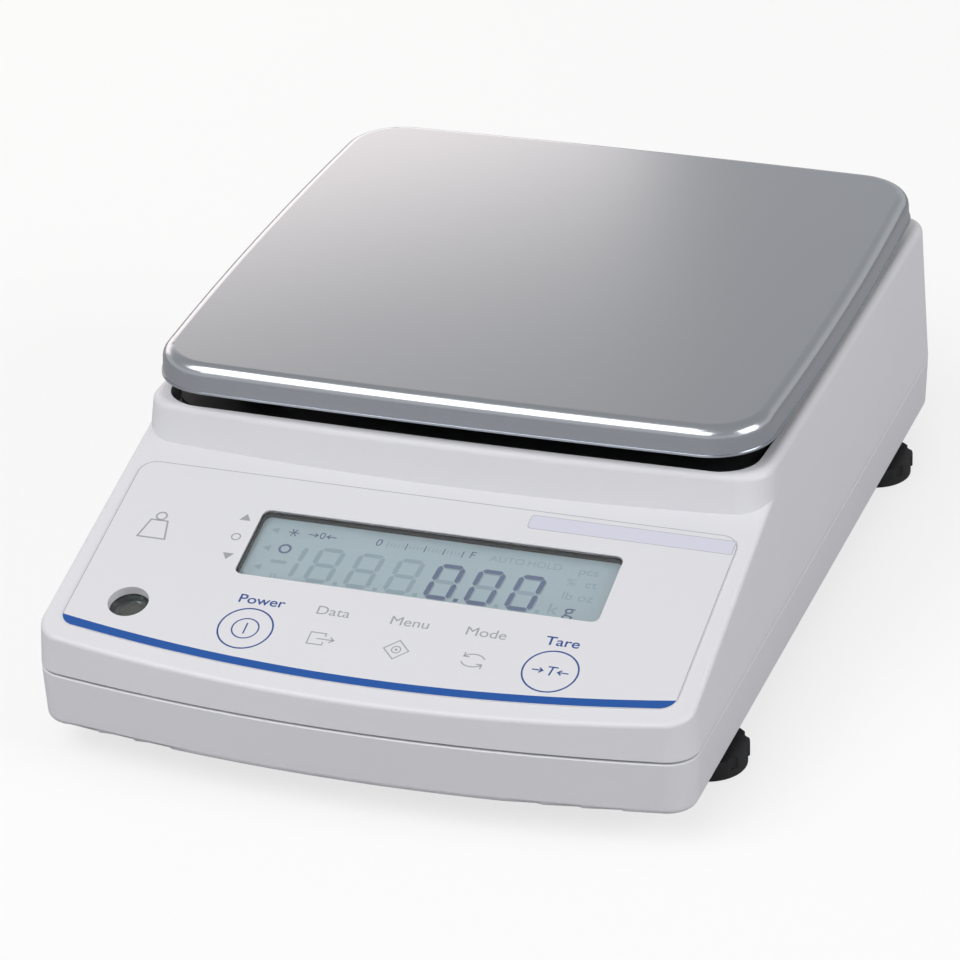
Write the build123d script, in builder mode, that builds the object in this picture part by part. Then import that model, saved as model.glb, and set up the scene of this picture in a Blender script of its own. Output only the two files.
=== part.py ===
from build123d import *

import os
from math import cos, radians, sin, tan

os.makedirs("parts", exist_ok=True)

# Laboratory balance, in millimetres. X runs to the right seen from the keys,
# Y to the back and Z up. The origin is under the middle of the box round the
# whole balance, on the table that its four feet stand on.

# Housing, measured at the parting line between its two halves
width = 206.0
depth = 298.8
connector_reach = 4.6            # how far the connectors stand out at the back
front_bow_radius = 552.0         # the front is a shallow arc seen from above
front_corner_radius = 10.0
rear_corner_radius = 12.0
wall = 2.5
base_height = 10.1               # underside of the lower half above the table
parting_height = 28.1
parting_groove = 0.9
lower_draft = 2.7                # degrees
upper_draft = 3.1
base_edge_radius = 2.2
parting_edge = 0.35
tongue_height = 3.0
tongue_thickness = 1.2
tongue_gap = 0.3
floor_rib = 1.6
floor_rib_height = 8.0
floor_rib_pitch = 46.0
floor_rib_setback = 12.0         # start of the ribs behind the front
plate_recess_width = 70.0        # shallow place for a rating plate, underneath
plate_recess_length = 36.0
plate_recess_depth = 0.4
plate_recess_corner = 2.0

# Sloping control panel and the raised platform behind it
panel_front_height = 38.0        # where the plane of the panel meets the front
panel_slope = 15.8               # degrees
panel_edge_radius = 1.6
platform_top = 76.8
platform_edge_radius = 2.8
platform_front = 90.9            # behind the front, at the foot of its wall
platform_front_lean = 12.0       # degrees
platform_bow_radius = 1240.0
platform_corner_radius = 11.0
recess_depth = 7.5
recess_inset = 3.2               # inside the rim of the pan
recess_corner_radius = 12.0
post_hole_radius = 12.0
collar_wall = 2.0
collar_height = 1.0

# Weighing pan, pressed from one sheet
pan_setback = 93.4               # front of its rim behind the front
pan_rear_inset = 3.6             # back of its rim in front of the rear
pan_side_inset = 2.35            # sides of its rim inside the housing's
pan_side_bow = 2.7
pan_front_bow = 1.6
pan_corner_radius = 19.8
pan_gap = 6.0                    # its lower edge above the platform
pan_height = 9.0
pan_draft = 3.6                  # degrees
pan_edge_radius = 4.0
pan_sheet = 1.0
pan_hem = 0.3                    # how far the hem stands out
pan_hem_height = 0.6

# Pan support, load post and cushions
support_inset = 5.2              # inside the rim of the pan
support_floor_gap = 2.0          # above the floor of the recess
support_skirt = 3.5
support_plate = 1.8
support_edge = 2.0
support_rib = 2.0
support_hub_radius = 14.0
support_post_radius = 7.0
support_post_draft = 6.0         # degrees
support_post_side_inset = 28.65  # centres inside the sides of the pan's rim
support_post_end_inset = 28.9    # centres inside its front and back
cushion_radius = 5.0
cushion_height = 2.2
load_post_radius = 9.0
load_spigot_radius = 5.0
load_spigot_length = 1.2
spigot_gap = 0.1

# Film over the panel, placed in the plane of the panel: across, and up the
# slope from the front
film_thickness = 0.4
film_side_inset = 6.8            # inside the sides of the housing
film_top = 88.8
film_bottom = 7.2                # crown of its bowed lower edge
film_bow_radius = 534.0
film_corner_radius = 5.5

# Display behind its window
window_x = 6.75
window_v = 59.9
window_width = 114.9
window_height = 28.5
window_corner_radius = 2.6
pane_border = 2.6
pane_thickness = 1.0
frame_lip = 0.5
frame_wall = 1.2
glass_border = 2.0
glass_gap = 0.15
glass_thickness = 2.0

# Keys
key_row_v = 23.6
key_first_x = -38.8
key_pitch = 23.8
key_names = ("power", "print", "set", "function", "tare")
key_radius = 8.2
key_gap = 0.1
key_travel = 0.4
key_flange = 1.0
key_flange_thickness = 1.0
key_edge = 0.08
key_stem_radius = 1.75
key_stem_gap = 0.1
switch_size = 6.0
switch_height = 4.0
switch_entry = 0.6               # how deep the stem stands in its switch

# Display board under the panel
board_thickness = 1.6
display_board_depth = 10.4       # its top under the panel
display_board_x = 9.0
display_board_v = 49.0
display_board_width = 142.0
display_board_height = 70.0
board_margin = 4.0
board_boss_radius = 3.2

# Round spirit level beside the keys
level_side_inset = 25.0          # centre inside the left side of the housing
level_v = 27.8
level_hole_radius = 6.3
vial_radius = 7.4
vial_height = 6.4
vial_wall = 0.9
level_cup_gap = 0.1
level_cup_wall = 1.2
level_cup_flange = 2.4
level_cup_floor = 1.4

# Levelling feet
foot_side_inset = 10.0           # centres inside the sides of the housing
foot_front_setback = 58.4
foot_rear_inset = 43.2           # centres in front of the rear
foot_pad_radius = 12.2
foot_pad_height = 3.0
foot_pad_edge = 0.6
foot_turn_gap = 0.1
foot_knob_radius = 12.8
foot_knob_height = 3.7
foot_flutes = 10
foot_flute_radius = 3.0
foot_flute_depth = 0.8
foot_stud_radius = 4.0
foot_stud_length = 17.0
foot_spigot_radius = 3.0
foot_spigot_height = 1.4
thread_clearance = 0.05
bush_radius = 5.2
bush_flange_radius = 6.4
bush_flange_height = 1.2
bush_boss_radius = 7.2
bush_boss_height = 7.0

# Cast base plate inside the lower half
chassis_gap = 2.0                # to the screw posts and the rear wall
chassis_front = 89.0             # its front edge behind the front
chassis_corner_radius = 6.0
chassis_thickness = 3.5
chassis_rib = 3.0
chassis_rib_height = 6.0
chassis_pad_height = 3.5

# Weighing mechanism: two blocks joined by two parallel arms
cell_width = 40.0
cell_height = 34.0
fixed_block_length = 34.0
live_block_length = 22.0
live_block_edge = 2.0
arm_length = 66.0
arm_thickness = 6.0
arm_neck = 2.0                   # thickness at the flexures
arm_neck_radius = 2.5
arm_end_gap = 0.3
fixed_block_offset = 29.0        # its front face behind the middle of the pan
fork_width = 9.0
fork_thickness = 1.6
fork_slot = 2.0
fork_base = 7.0
stop_gap = 0.4
bracket_gap = 2.0
bracket_thickness = 4.0
bracket_width = 26.0

# Main board with its connectors at the back
main_board_side_inset = 28.0     # inside the right side of the housing
main_board_cell_gap = 5.0        # beside the weighing mechanism
main_board_height = 33.0         # its underside above the table
main_board_length = 70.0
main_board_setback = 6.5         # in front of the rear
standoff_radius = 3.0
rear_flat = 1.3                  # the flat round the connectors, in from the rear
rear_flat_width = 52.0
rear_flat_height = 18.0
connector_gap = 0.25
serial_offset = 8.5              # left of the middle of the board
serial_flange_width = 30.8
serial_flange_height = 12.4
serial_flange_thickness = 1.2
serial_shell_width = 17.0
serial_shell_height = 8.3
serial_shell_taper = 1.0
serial_shell_corner = 2.4
serial_shell_wall = 0.5
serial_body_width = 19.0
serial_body_length = 9.0
serial_insert_reach = 1.2
serial_pin_radius = 0.5
serial_pin_pitch = 2.77
serial_row_pitch = 2.84
serial_pin_drop = 1.0            # from the end of the shell
jackscrew_spacing = 24.99
jackscrew_radius = 2.9
jackscrew_bore_radius = 1.2
jackscrew_bore_depth = 4.0
jackscrew_thread = 0.3           # wall of its threaded end
power_offset = 13.0              # right of the middle of the board
power_width = 9.0
power_height = 11.0
power_length = 14.0
power_bore_radius = 3.0
power_bore_depth = 9.5
power_pin_radius = 1.05
power_pin_drop = 1.0
header_size = 5.0
ribbon_width = 20.0
ribbon_thickness = 0.9
ribbon_bend = 4.0
ribbon_gap = 0.3
ribbon_drop = 6.0

# Screws
case_screw_side = 17.0
case_screw_front = 44.0
case_screw_rear = 17.0
case_screw_radius = 1.6
case_screw_head_radius = 3.0
case_screw_head_height = 2.0
case_screw_sink = 3.0
case_screw_grip = 6.0            # how far it reaches into the upper half
case_post_radius = 3.8
case_post_gap = 0.2
case_boss_radius = 4.2
screw_clearance = 0.05
head_clearance = 0.3
tip_clearance = 1.0
small_screw_radius = 1.3
small_screw_head_radius = 2.5
small_screw_head_height = 1.6
small_screw_grip = 4.0

# Cover of the hole for weighing below the balance
hook_hole_radius = 9.0
hook_cover_radius = 12.0
hook_cover_height = 1.6
hook_cover_gap = 0.3

# Places worked out from the sizes above
front = -(depth + connector_reach) / 2
rear = front + depth
lower_top = parting_height - parting_groove / 2
upper_foot = parting_height + parting_groove / 2
tongue_top = upper_foot + tongue_height
floor_top = base_height + wall
pan_width = width - 2 * pan_side_inset
pan_depth = depth - pan_setback - pan_rear_inset
pan_y = front + pan_setback + pan_depth / 2
pan_rim_height = platform_top + pan_gap
pan_top = pan_rim_height + pan_height
pan_underside = pan_top - pan_sheet
recess_floor = platform_top - recess_depth
ceiling = recess_floor - wall
slope = radians(panel_slope)
panel = Plane((0, front, panel_front_height), x_dir=(1, 0, 0), z_dir=(0, -sin(slope), cos(slope)))
film_half_width = width / 2 - film_side_inset
level_x = level_side_inset - width / 2
key_places = [(key_first_x + i * key_pitch, key_row_v) for i in range(len(key_names))]
frame_top = wall + frame_lip
board_corners = [
    (display_board_x + i * (display_board_width / 2 - board_margin),
     display_board_v + j * (display_board_height / 2 - board_margin))
    for i in (-1, 1)
    for j in (-1, 1)
]
support_bottom = recess_floor + support_floor_gap
support_top = support_bottom + support_skirt
support_post_x = pan_width / 2 - support_post_side_inset
support_post_y = pan_depth / 2 - support_post_end_inset
post_places = [(i * support_post_x, pan_y + j * support_post_y) for i in (-1, 1) for j in (-1, 1)]
chassis_top = floor_top + chassis_thickness
case_screw_x = width / 2 - case_screw_side
chassis_half = case_screw_x - case_post_radius - chassis_gap
chassis_rear = rear - wall - tongue_gap - tongue_thickness - chassis_gap
chassis_length = chassis_rear - front - chassis_front
chassis_y = chassis_rear - chassis_length / 2
floor_rib_length = chassis_front - chassis_gap - floor_rib_setback
floor_rib_y = front + floor_rib_setback + floor_rib_length / 2
cell_bottom = chassis_top + chassis_pad_height
cell_top = cell_bottom + cell_height
fixed_front = pan_y + fixed_block_offset
live_rear = fixed_front - arm_length
live_y = live_rear - live_block_length / 2
bracket_bottom = cell_top + bracket_gap
main_board_right = width / 2 - main_board_side_inset
main_board_width = main_board_right - cell_width / 2 - main_board_cell_gap
main_board_x = main_board_right - main_board_width / 2
main_board_top = main_board_height + board_thickness
main_board_y = rear - main_board_setback - main_board_length / 2
main_board_corners = [
    (main_board_x + i * (main_board_width / 2 - board_margin),
     main_board_y + j * (main_board_length / 2 - board_margin))
    for i in (-1, 1)
    for j in (-1, 1)
]
flat_y = rear - rear_flat
rear_plane = Plane((0, flat_y, 0), x_dir=(-1, 0, 0), z_dir=(0, 1, 0))
serial_x = main_board_x - serial_offset
serial_z = main_board_top + serial_flange_height / 2
power_x = main_board_x + power_offset
power_z = main_board_top + power_height / 2
shell_length = rear + connector_reach - flat_y
jackscrew_places = [(i * jackscrew_spacing / 2 - serial_x, serial_z) for i in (-1, 1)]
foot_x = width / 2 - foot_side_inset
foot_places = {
    "front_left": (-foot_x, front + foot_front_setback),
    "front_right": (foot_x, front + foot_front_setback),
    "rear_left": (-foot_x, rear - foot_rear_inset),
    "rear_right": (foot_x, rear - foot_rear_inset),
}
case_screw_places = [
    (side * case_screw_x, y)
    for side in (-1, 1)
    for y in (front + case_screw_front, rear - case_screw_rear)
]


def save(piece, label):
    """Names a finished piece and writes it to its own file."""
    piece.part.label = label
    export_step(piece.part, f"parts/{label}.step")


def bow(radius, half_chord):
    """Height of an arc over its chord."""
    return radius - (radius**2 - half_chord**2) ** 0.5


def housing_plan(height, inset=0.0):
    """Outline of the housing: bowed front, straight sides and round corners."""
    x, nose, back = width / 2 - inset, front + inset, rear - inset
    shoulder = nose + bow(front_bow_radius, x)
    with BuildSketch(Plane.XY.offset(height)) as plan:
        with BuildLine():
            arc = ThreePointArc((-x, shoulder), (0, nose), (x, shoulder))
            Polyline(arc @ 1, (x, back), (-x, back), arc @ 0)
        make_face()
        fillet(plan.vertices().sort_by(Axis.Y)[:2], front_corner_radius - inset)
        fillet(plan.vertices().sort_by(Axis.Y)[-2:], rear_corner_radius - inset)
    return plan.sketch


def pan_plan(height, inset=0.0, corner=None):
    """Outline of the pan: four gently bowed sides and large round corners."""
    x, y = pan_width / 2 - inset, pan_depth / 2 - inset
    side, end = x - pan_side_bow, y - pan_front_bow
    with BuildSketch(Plane((0, pan_y, height))) as plan:
        with BuildLine():
            ThreePointArc((-side, -end), (0, -y), (side, -end))
            ThreePointArc((side, -end), (x, 0), (side, end))
            ThreePointArc((side, end), (0, y), (-side, end))
            ThreePointArc((-side, end), (-x, 0), (-side, -end))
        make_face()
        fillet(plan.vertices(), corner or pan_corner_radius - inset)
    return plan.sketch


def film_plan(height):
    """Outline of the film: square at the top, bowed along its lower edge."""
    x = film_half_width
    side = film_bottom + bow(film_bow_radius, x)
    with BuildSketch(panel.offset(height)) as outline:
        with BuildLine():
            arc = ThreePointArc((-x, side), (0, film_bottom), (x, side))
            Polyline(arc @ 1, (x, film_top), (-x, film_top), arc @ 0)
        make_face()
        fillet(outline.vertices(), film_corner_radius)
    return outline.sketch


def window_plan(depth_under, border=0.0):
    """Rounded rectangle round the display window, at a depth under the panel."""
    across, up = window_width + 2 * border, window_height + 2 * border
    with BuildSketch(panel.offset(-depth_under)) as window:
        with Locations((window_x, window_v)):
            RectangleRounded(across, up, window_corner_radius + border)
    return window.sketch


def platform_bay(inset):
    """Space in front of the bowed wall of the platform, which leans back."""
    reach = width
    base = panel_front_height + platform_front * tan(slope)
    crown = front + platform_front + inset
    ends = crown + bow(platform_bow_radius, reach)
    with BuildSketch(Plane.XY.offset(base)) as outline:
        with BuildLine():
            arc = ThreePointArc((-reach, ends), (0, crown), (reach, ends))
            Polyline(arc @ 1, (reach, front - reach), (-reach, front - reach), arc @ 0)
        make_face()
    with BuildPart() as bay:
        extrude(outline.sketch, amount=platform_top, taper=-platform_front_lean)
        extrude(outline.sketch, amount=-base)
    return bay.part


def upper_block(inset, top):
    """Block of the upper half with its drafted walls, up to one height."""
    with BuildPart() as block:
        extrude(housing_plan(upper_foot, inset), amount=top - upper_foot, taper=upper_draft)
    return block.part


def console_block(inset, top):
    """Part of the upper half under the sloping panel."""
    with BuildPart() as console:
        add(upper_block(inset, top))
        split(bisect_by=panel.offset(-inset), keep=Keep.BOTTOM)
        split(bisect_by=Plane.XZ.offset(-front - platform_front - 2 * platform_corner_radius), keep=Keep.TOP)
    return console.part


def platform_block(inset, top):
    """Part of the upper half behind the wall of the platform."""
    with BuildPart() as platform:
        add(upper_block(inset, top))
        add(platform_bay(inset), mode=Mode.SUBTRACT)
    return platform.part


def lower_block(inset, top, bottom):
    """Block of the lower half: its walls draw in towards the table."""
    with BuildPart() as block:
        extrude(housing_plan(top, inset), amount=bottom - top, taper=lower_draft)
    return block.part


def in_platform_corner(edge):
    """True for the upright edges where the platform's front meets its sides."""
    size, middle = edge.bounding_box().size, edge @ 0.5
    return (
        size.Z > 2 * max(size.X, size.Y)
        and abs(middle.X) > width / 2 - platform_corner_radius
        and abs(middle.Y - front - platform_front) < platform_corner_radius
    )


def on_panel(face):
    """True for a flat face in the slope of the panel."""
    return face.normal_at().dot(panel.z_dir) > 0.9999


def d_shape(inset):
    """D-shaped outline of the serial connector's shell, wide side up."""
    half, high = serial_shell_width / 2 - inset, serial_shell_height / 2 - inset
    low = half - serial_shell_taper
    with BuildSketch(rear_plane) as outline:
        with Locations((-serial_x, serial_z)):
            Polygon((-half, high), (half, high), (low, -high), (-low, -high))
        fillet(outline.vertices(), serial_shell_corner - inset)
    return outline.sketch


# Upper half of the housing. Its console, with soft edges round the panel
with BuildPart() as console:
    add(console_block(0.0, platform_top))
    rims = console.faces().filter_by(on_panel).edges().sort_by(Axis.Y)[:-1]
    fillet(rims, panel_edge_radius)

# Its platform, with round corners in front and a soft edge on top
with BuildPart() as platform:
    add(platform_block(0.0, platform_top))
    fillet(platform.edges().filter_by(in_platform_corner), platform_corner_radius)
    fillet(platform.edges().group_by(Axis.Z)[-1], platform_edge_radius)

# Its hollow, one wall in from both
with BuildPart() as platform_hollow:
    add(platform_block(wall, ceiling))
    fillet(platform_hollow.edges().filter_by(in_platform_corner), platform_corner_radius - wall)
with BuildPart() as upper_hollow:
    add(console_block(wall, ceiling))
    add(platform_hollow.part)

# Its screw bosses reach from the parting line up to the panel or the ceiling
with BuildPart() as case_bosses:
    with BuildSketch(Plane.XY.offset(tongue_top)):
        with Locations(case_screw_places):
            Circle(case_boss_radius)
    extrude(amount=platform_top)
    add(upper_hollow.part, mode=Mode.INTERSECT)

# Openings for the two connectors, through the rear wall and what is behind it
with BuildPart() as connector_openings:
    with BuildSketch(rear_plane):
        with Locations((-serial_x, serial_z)):
            Rectangle(serial_flange_width + 2 * connector_gap, serial_flange_height + 2 * connector_gap)
        with Locations((-power_x, power_z)):
            Rectangle(power_width + 2 * connector_gap, power_height + 2 * connector_gap)
    extrude(amount=-2 * wall)

with BuildPart() as upper_housing:
    add(console.part)
    add(platform.part)
    add(upper_hollow.part, mode=Mode.SUBTRACT)
    add(case_bosses.part)
    with BuildSketch(Plane.XY.offset(parting_height)):
        with Locations(case_screw_places):
            Circle(case_screw_radius + screw_clearance)
    extrude(amount=tongue_top + case_screw_grip + tip_clearance - parting_height, mode=Mode.SUBTRACT)
    # Recess under the pan, with a hole and a low collar for the load post
    extrude(
        pan_plan(recess_floor, recess_inset, recess_corner_radius),
        amount=recess_depth + pan_height,
        mode=Mode.SUBTRACT,
    )
    with BuildSketch(Plane((0, pan_y, recess_floor))):
        Circle(post_hole_radius + collar_wall)
    extrude(amount=collar_height)
    with BuildSketch(Plane((0, pan_y, recess_floor + collar_height))):
        Circle(post_hole_radius)
    extrude(amount=-(collar_height + wall), mode=Mode.SUBTRACT)
    # Holes for the keys, the level and the display
    with BuildSketch(panel):
        with Locations(key_places):
            Circle(key_radius + key_gap)
        with Locations((level_x, level_v)):
            Circle(level_hole_radius)
    extrude(amount=-wall, mode=Mode.SUBTRACT)
    extrude(window_plan(0.0), amount=-wall, mode=Mode.SUBTRACT)
    extrude(window_plan(0.0, pane_border), amount=-pane_thickness, mode=Mode.SUBTRACT)
    # Bosses that carry the display board
    with BuildSketch(panel.offset(-wall)):
        with Locations(board_corners):
            Circle(board_boss_radius)
    extrude(amount=wall - display_board_depth)
    with BuildSketch(panel.offset(-display_board_depth)):
        with Locations(board_corners):
            Circle(small_screw_radius + screw_clearance)
    extrude(amount=small_screw_grip + tip_clearance, mode=Mode.SUBTRACT)
    # Flat on the rear wall round the connectors
    with BuildSketch(rear_plane):
        with Locations((-main_board_x, serial_z)):
            RectangleRounded(rear_flat_width, rear_flat_height, 2.0)
    extrude(amount=rear_flat, mode=Mode.SUBTRACT)
    add(connector_openings.part, mode=Mode.SUBTRACT)
save(upper_housing, "upper_housing")

# Lower half of the housing: a tray with a tongue behind the parting groove
with BuildPart() as lower_housing:
    add(lower_block(0.0, lower_top - parting_edge, base_height))
    fillet(lower_housing.edges().group_by(Axis.Z)[0], base_edge_radius)
    extrude(housing_plan(lower_top - parting_edge), amount=parting_edge, taper=45)
    add(lower_block(wall, lower_top, floor_top), mode=Mode.SUBTRACT)
    extrude(housing_plan(lower_top, wall / 2), amount=-2 * tongue_height)
    extrude(housing_plan(lower_top, wall + tongue_gap), amount=tongue_top - lower_top)
    extrude(
        housing_plan(tongue_top, wall + tongue_gap + tongue_thickness),
        amount=lower_top - tongue_top - 2 * tongue_height,
        mode=Mode.SUBTRACT,
    )
    add(connector_openings.part, mode=Mode.SUBTRACT)
    # Bosses round the bushes of the feet, and the posts of the housing screws
    with BuildSketch(Plane.XY.offset(floor_top)):
        with Locations(*foot_places.values()):
            Circle(bush_boss_radius)
    extrude(amount=bush_boss_height)
    with BuildSketch(Plane.XY.offset(floor_top)):
        with Locations(case_screw_places):
            Circle(case_post_radius)
    extrude(amount=tongue_top - case_post_gap - floor_top)
    # Ribs that stiffen the floor in front of the base plate
    with BuildSketch(Plane((0, floor_rib_y, floor_top))):
        with GridLocations(floor_rib_pitch, 0, 3, 1):
            Rectangle(floor_rib, floor_rib_length)
        Rectangle(2 * floor_rib_pitch, floor_rib)
    extrude(amount=floor_rib_height)
    with BuildSketch(Plane.XY.offset(base_height)):
        with Locations(*foot_places.values()):
            Circle(bush_radius)
        with Locations(case_screw_places):
            Circle(case_screw_radius + screw_clearance)
        with Locations((0, pan_y)):
            Circle(hook_hole_radius)
    extrude(amount=platform_top, mode=Mode.SUBTRACT)
    with BuildSketch(Plane.XY.offset(base_height)):
        with Locations(case_screw_places):
            Circle(case_screw_head_radius + head_clearance)
    extrude(amount=case_screw_sink, mode=Mode.SUBTRACT)
    with BuildSketch(Plane((0, floor_rib_y, base_height))):
        RectangleRounded(plate_recess_width, plate_recess_length, plate_recess_corner)
    extrude(amount=plate_recess_depth, mode=Mode.SUBTRACT)
save(lower_housing, "lower_housing")

# Housing screws, put in from below
with BuildPart() as case_screws:
    with BuildSketch(Plane.XY.offset(base_height + case_screw_sink)):
        with Locations(case_screw_places):
            Circle(case_screw_head_radius)
    extrude(amount=-case_screw_head_height)
    with BuildSketch(Plane.XY.offset(base_height + case_screw_sink)):
        with Locations(case_screw_places):
            Circle(case_screw_radius)
    extrude(amount=tongue_top + case_screw_grip - base_height - case_screw_sink)
    with BuildSketch(Plane.XY.offset(base_height + case_screw_sink - case_screw_head_height)):
        with Locations(case_screw_places):
            RegularPolygon(case_screw_head_radius / 2, 6)
    extrude(amount=case_screw_head_height / 2, mode=Mode.SUBTRACT)
save(case_screws, "case_screws")

# Weighing pan: one drawn sheet with a hem along its lower edge
with BuildPart() as pan_hollow:
    extrude(pan_plan(pan_rim_height, pan_sheet), amount=pan_height - pan_sheet, taper=pan_draft)
    fillet(pan_hollow.edges().group_by(Axis.Z)[-1], pan_edge_radius - pan_sheet)
with BuildPart() as weighing_pan:
    extrude(pan_plan(pan_rim_height), amount=pan_height, taper=pan_draft)
    fillet(weighing_pan.edges().group_by(Axis.Z)[-1], pan_edge_radius)
    extrude(pan_plan(pan_rim_height, -pan_hem), amount=pan_hem_height)
    add(pan_hollow.part, mode=Mode.SUBTRACT)
save(weighing_pan, "weighing_pan")

# Pan support: a plate with a skirt, crossed ribs, a hub and four posts
with BuildPart() as pan_support:
    extrude(pan_plan(support_bottom, support_inset), amount=support_skirt)
    extrude(
        pan_plan(support_bottom, support_inset + support_edge),
        amount=support_skirt - support_plate,
        mode=Mode.SUBTRACT,
    )
    with BuildSketch(Plane((0, pan_y, support_bottom))):
        Circle(support_hub_radius)
        for y in (-support_post_y, 0, support_post_y):
            with Locations((0, y)):
                Rectangle(pan_width - 2 * support_inset - support_edge, support_rib)
        for x in (-support_post_x, 0, support_post_x):
            with Locations((x, 0)):
                Rectangle(support_rib, pan_depth - 2 * support_inset - support_edge)
    extrude(amount=support_skirt - support_plate)
    with BuildSketch(Plane.XY.offset(support_top)):
        with Locations(post_places):
            Circle(support_post_radius)
    extrude(amount=pan_underside - cushion_height - support_top, taper=support_post_draft)
    with BuildSketch(Plane((0, pan_y, support_bottom))):
        Circle(load_spigot_radius + spigot_gap)
    extrude(amount=load_spigot_length + spigot_gap, mode=Mode.SUBTRACT)
save(pan_support, "pan_support")

# Rubber cushions on the posts
with BuildPart() as pan_cushions:
    with BuildSketch(Plane.XY.offset(pan_underside - cushion_height)):
        with Locations(post_places):
            Circle(cushion_radius)
    extrude(amount=cushion_height)
save(pan_cushions, "pan_cushions")

# Load post: a stepped turning between the bracket and the pan support
with BuildPart() as load_post:
    with BuildSketch(Plane((0, pan_y, 0), x_dir=(1, 0, 0), z_dir=(0, -1, 0))):
        with BuildLine():
            foot = bracket_bottom + bracket_thickness
            Polyline(
                (0, foot),
                (load_post_radius, foot),
                (load_post_radius, support_bottom),
                (load_spigot_radius, support_bottom),
                (load_spigot_radius, support_bottom + load_spigot_length),
                (0, support_bottom + load_spigot_length),
                close=True,
            )
        make_face()
    revolve(axis=Axis((0, pan_y, 0), (0, 0, 1)))
save(load_post, "load_post")

# Weighing mechanism, fixed part: a block with two arms that thin to flexures
neck_sink = arm_neck_radius - (arm_thickness - arm_neck) / 2
neck_places = (fixed_front - 2 * arm_neck_radius, live_rear + 2 * arm_neck_radius)
with BuildPart() as weigh_frame:
    with BuildSketch(Plane.YZ):
        with Locations((fixed_front + fixed_block_length / 2, cell_bottom + cell_height / 2)):
            Rectangle(fixed_block_length, cell_height)
        for arm_z in (cell_bottom + arm_thickness / 2, cell_top - arm_thickness / 2):
            with Locations(((fixed_front + live_rear + arm_end_gap) / 2, arm_z)):
                Rectangle(arm_length - arm_end_gap, arm_thickness)
            for side in (-1, 1):
                edge_z = arm_z + side * (arm_thickness / 2 + neck_sink)
                with Locations(*[(y, edge_z) for y in neck_places]):
                    Circle(arm_neck_radius, mode=Mode.SUBTRACT)
    extrude(amount=cell_width / 2, both=True)
save(weigh_frame, "weigh_frame")

# Weighing mechanism, moving part: the block that the arms guide
with BuildPart() as weigh_block:
    with BuildSketch(Plane.XY.offset(cell_bottom)):
        with Locations((0, live_y)):
            Rectangle(cell_width, live_block_length)
    extrude(amount=cell_height)
    fillet(weigh_block.edges().filter_by(Axis.Z), live_block_edge)
save(weigh_block, "weigh_block")

# Bracket from the moving block over the upper arm to the load post
with BuildPart() as load_bracket:
    with BuildSketch(Plane.XY.offset(bracket_bottom)):
        with Locations((0, (pan_y + live_rear - live_block_length) / 2)):
            Rectangle(bracket_width, pan_y - live_rear + live_block_length)
        with Locations((0, pan_y)):
            Circle(bracket_width / 2)
    extrude(amount=bracket_thickness)
    with BuildSketch(Plane.XY.offset(cell_top)):
        with Locations((0, live_y)):
            Rectangle(bracket_width, live_block_length)
    extrude(amount=bracket_gap)
save(load_bracket, "load_bracket")

# Tuning fork between the blocks: two tines joined at both ends
fork_length = arm_length - arm_end_gap
with BuildPart() as tuning_fork:
    with BuildSketch(Plane((0, fixed_front - fork_length / 2, cell_bottom + cell_height / 2))):
        Rectangle(fork_width, fork_length)
        SlotOverall(fork_length - 2 * fork_base, fork_slot, rotation=90, mode=Mode.SUBTRACT)
    extrude(amount=fork_thickness)
save(tuning_fork, "tuning_fork")

# Cast base plate with ribs, pads for the mechanism and board standoffs
with BuildPart() as chassis:
    with BuildSketch(Plane((0, chassis_y, floor_top))):
        RectangleRounded(2 * chassis_half, chassis_length, chassis_corner_radius)
        with Locations((0, pan_y - chassis_y)):
            Circle(hook_hole_radius, mode=Mode.SUBTRACT)
    extrude(amount=chassis_thickness)
    with BuildSketch(Plane((0, chassis_y, chassis_top))):
        RectangleRounded(2 * chassis_half, chassis_length, chassis_corner_radius)
        RectangleRounded(
            2 * (chassis_half - chassis_rib),
            chassis_length - 2 * chassis_rib,
            chassis_corner_radius - chassis_rib,
            mode=Mode.SUBTRACT,
        )
        for x in (-chassis_half / 3, chassis_half / 3):
            with Locations((x, 0)):
                Rectangle(chassis_rib, chassis_length)
    extrude(amount=chassis_rib_height)
    with BuildSketch(Plane.XY.offset(chassis_top)):
        with Locations((0, fixed_front + fixed_block_length / 2)):
            Rectangle(cell_width, fixed_block_length)
    extrude(amount=chassis_pad_height)
    with BuildSketch(Plane.XY.offset(chassis_top)):
        with Locations((0, live_y)):
            Rectangle(cell_width, live_block_length)
    extrude(amount=chassis_pad_height - stop_gap)
    with BuildSketch(Plane.XY.offset(chassis_top)):
        with Locations(main_board_corners):
            Circle(standoff_radius)
    extrude(amount=main_board_height - chassis_top)
    with BuildSketch(Plane.XY.offset(main_board_height)):
        with Locations(main_board_corners):
            Circle(small_screw_radius + screw_clearance)
    extrude(amount=-(small_screw_grip + tip_clearance), mode=Mode.SUBTRACT)
save(chassis, "chassis")

# Main board
with BuildPart() as main_board:
    with BuildSketch(Plane.XY.offset(main_board_height)):
        with Locations((main_board_x, main_board_y)):
            Rectangle(main_board_width, main_board_length)
        with Locations(main_board_corners):
            Circle(small_screw_radius + screw_clearance, mode=Mode.SUBTRACT)
    extrude(amount=board_thickness)
save(main_board, "main_board")

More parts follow.
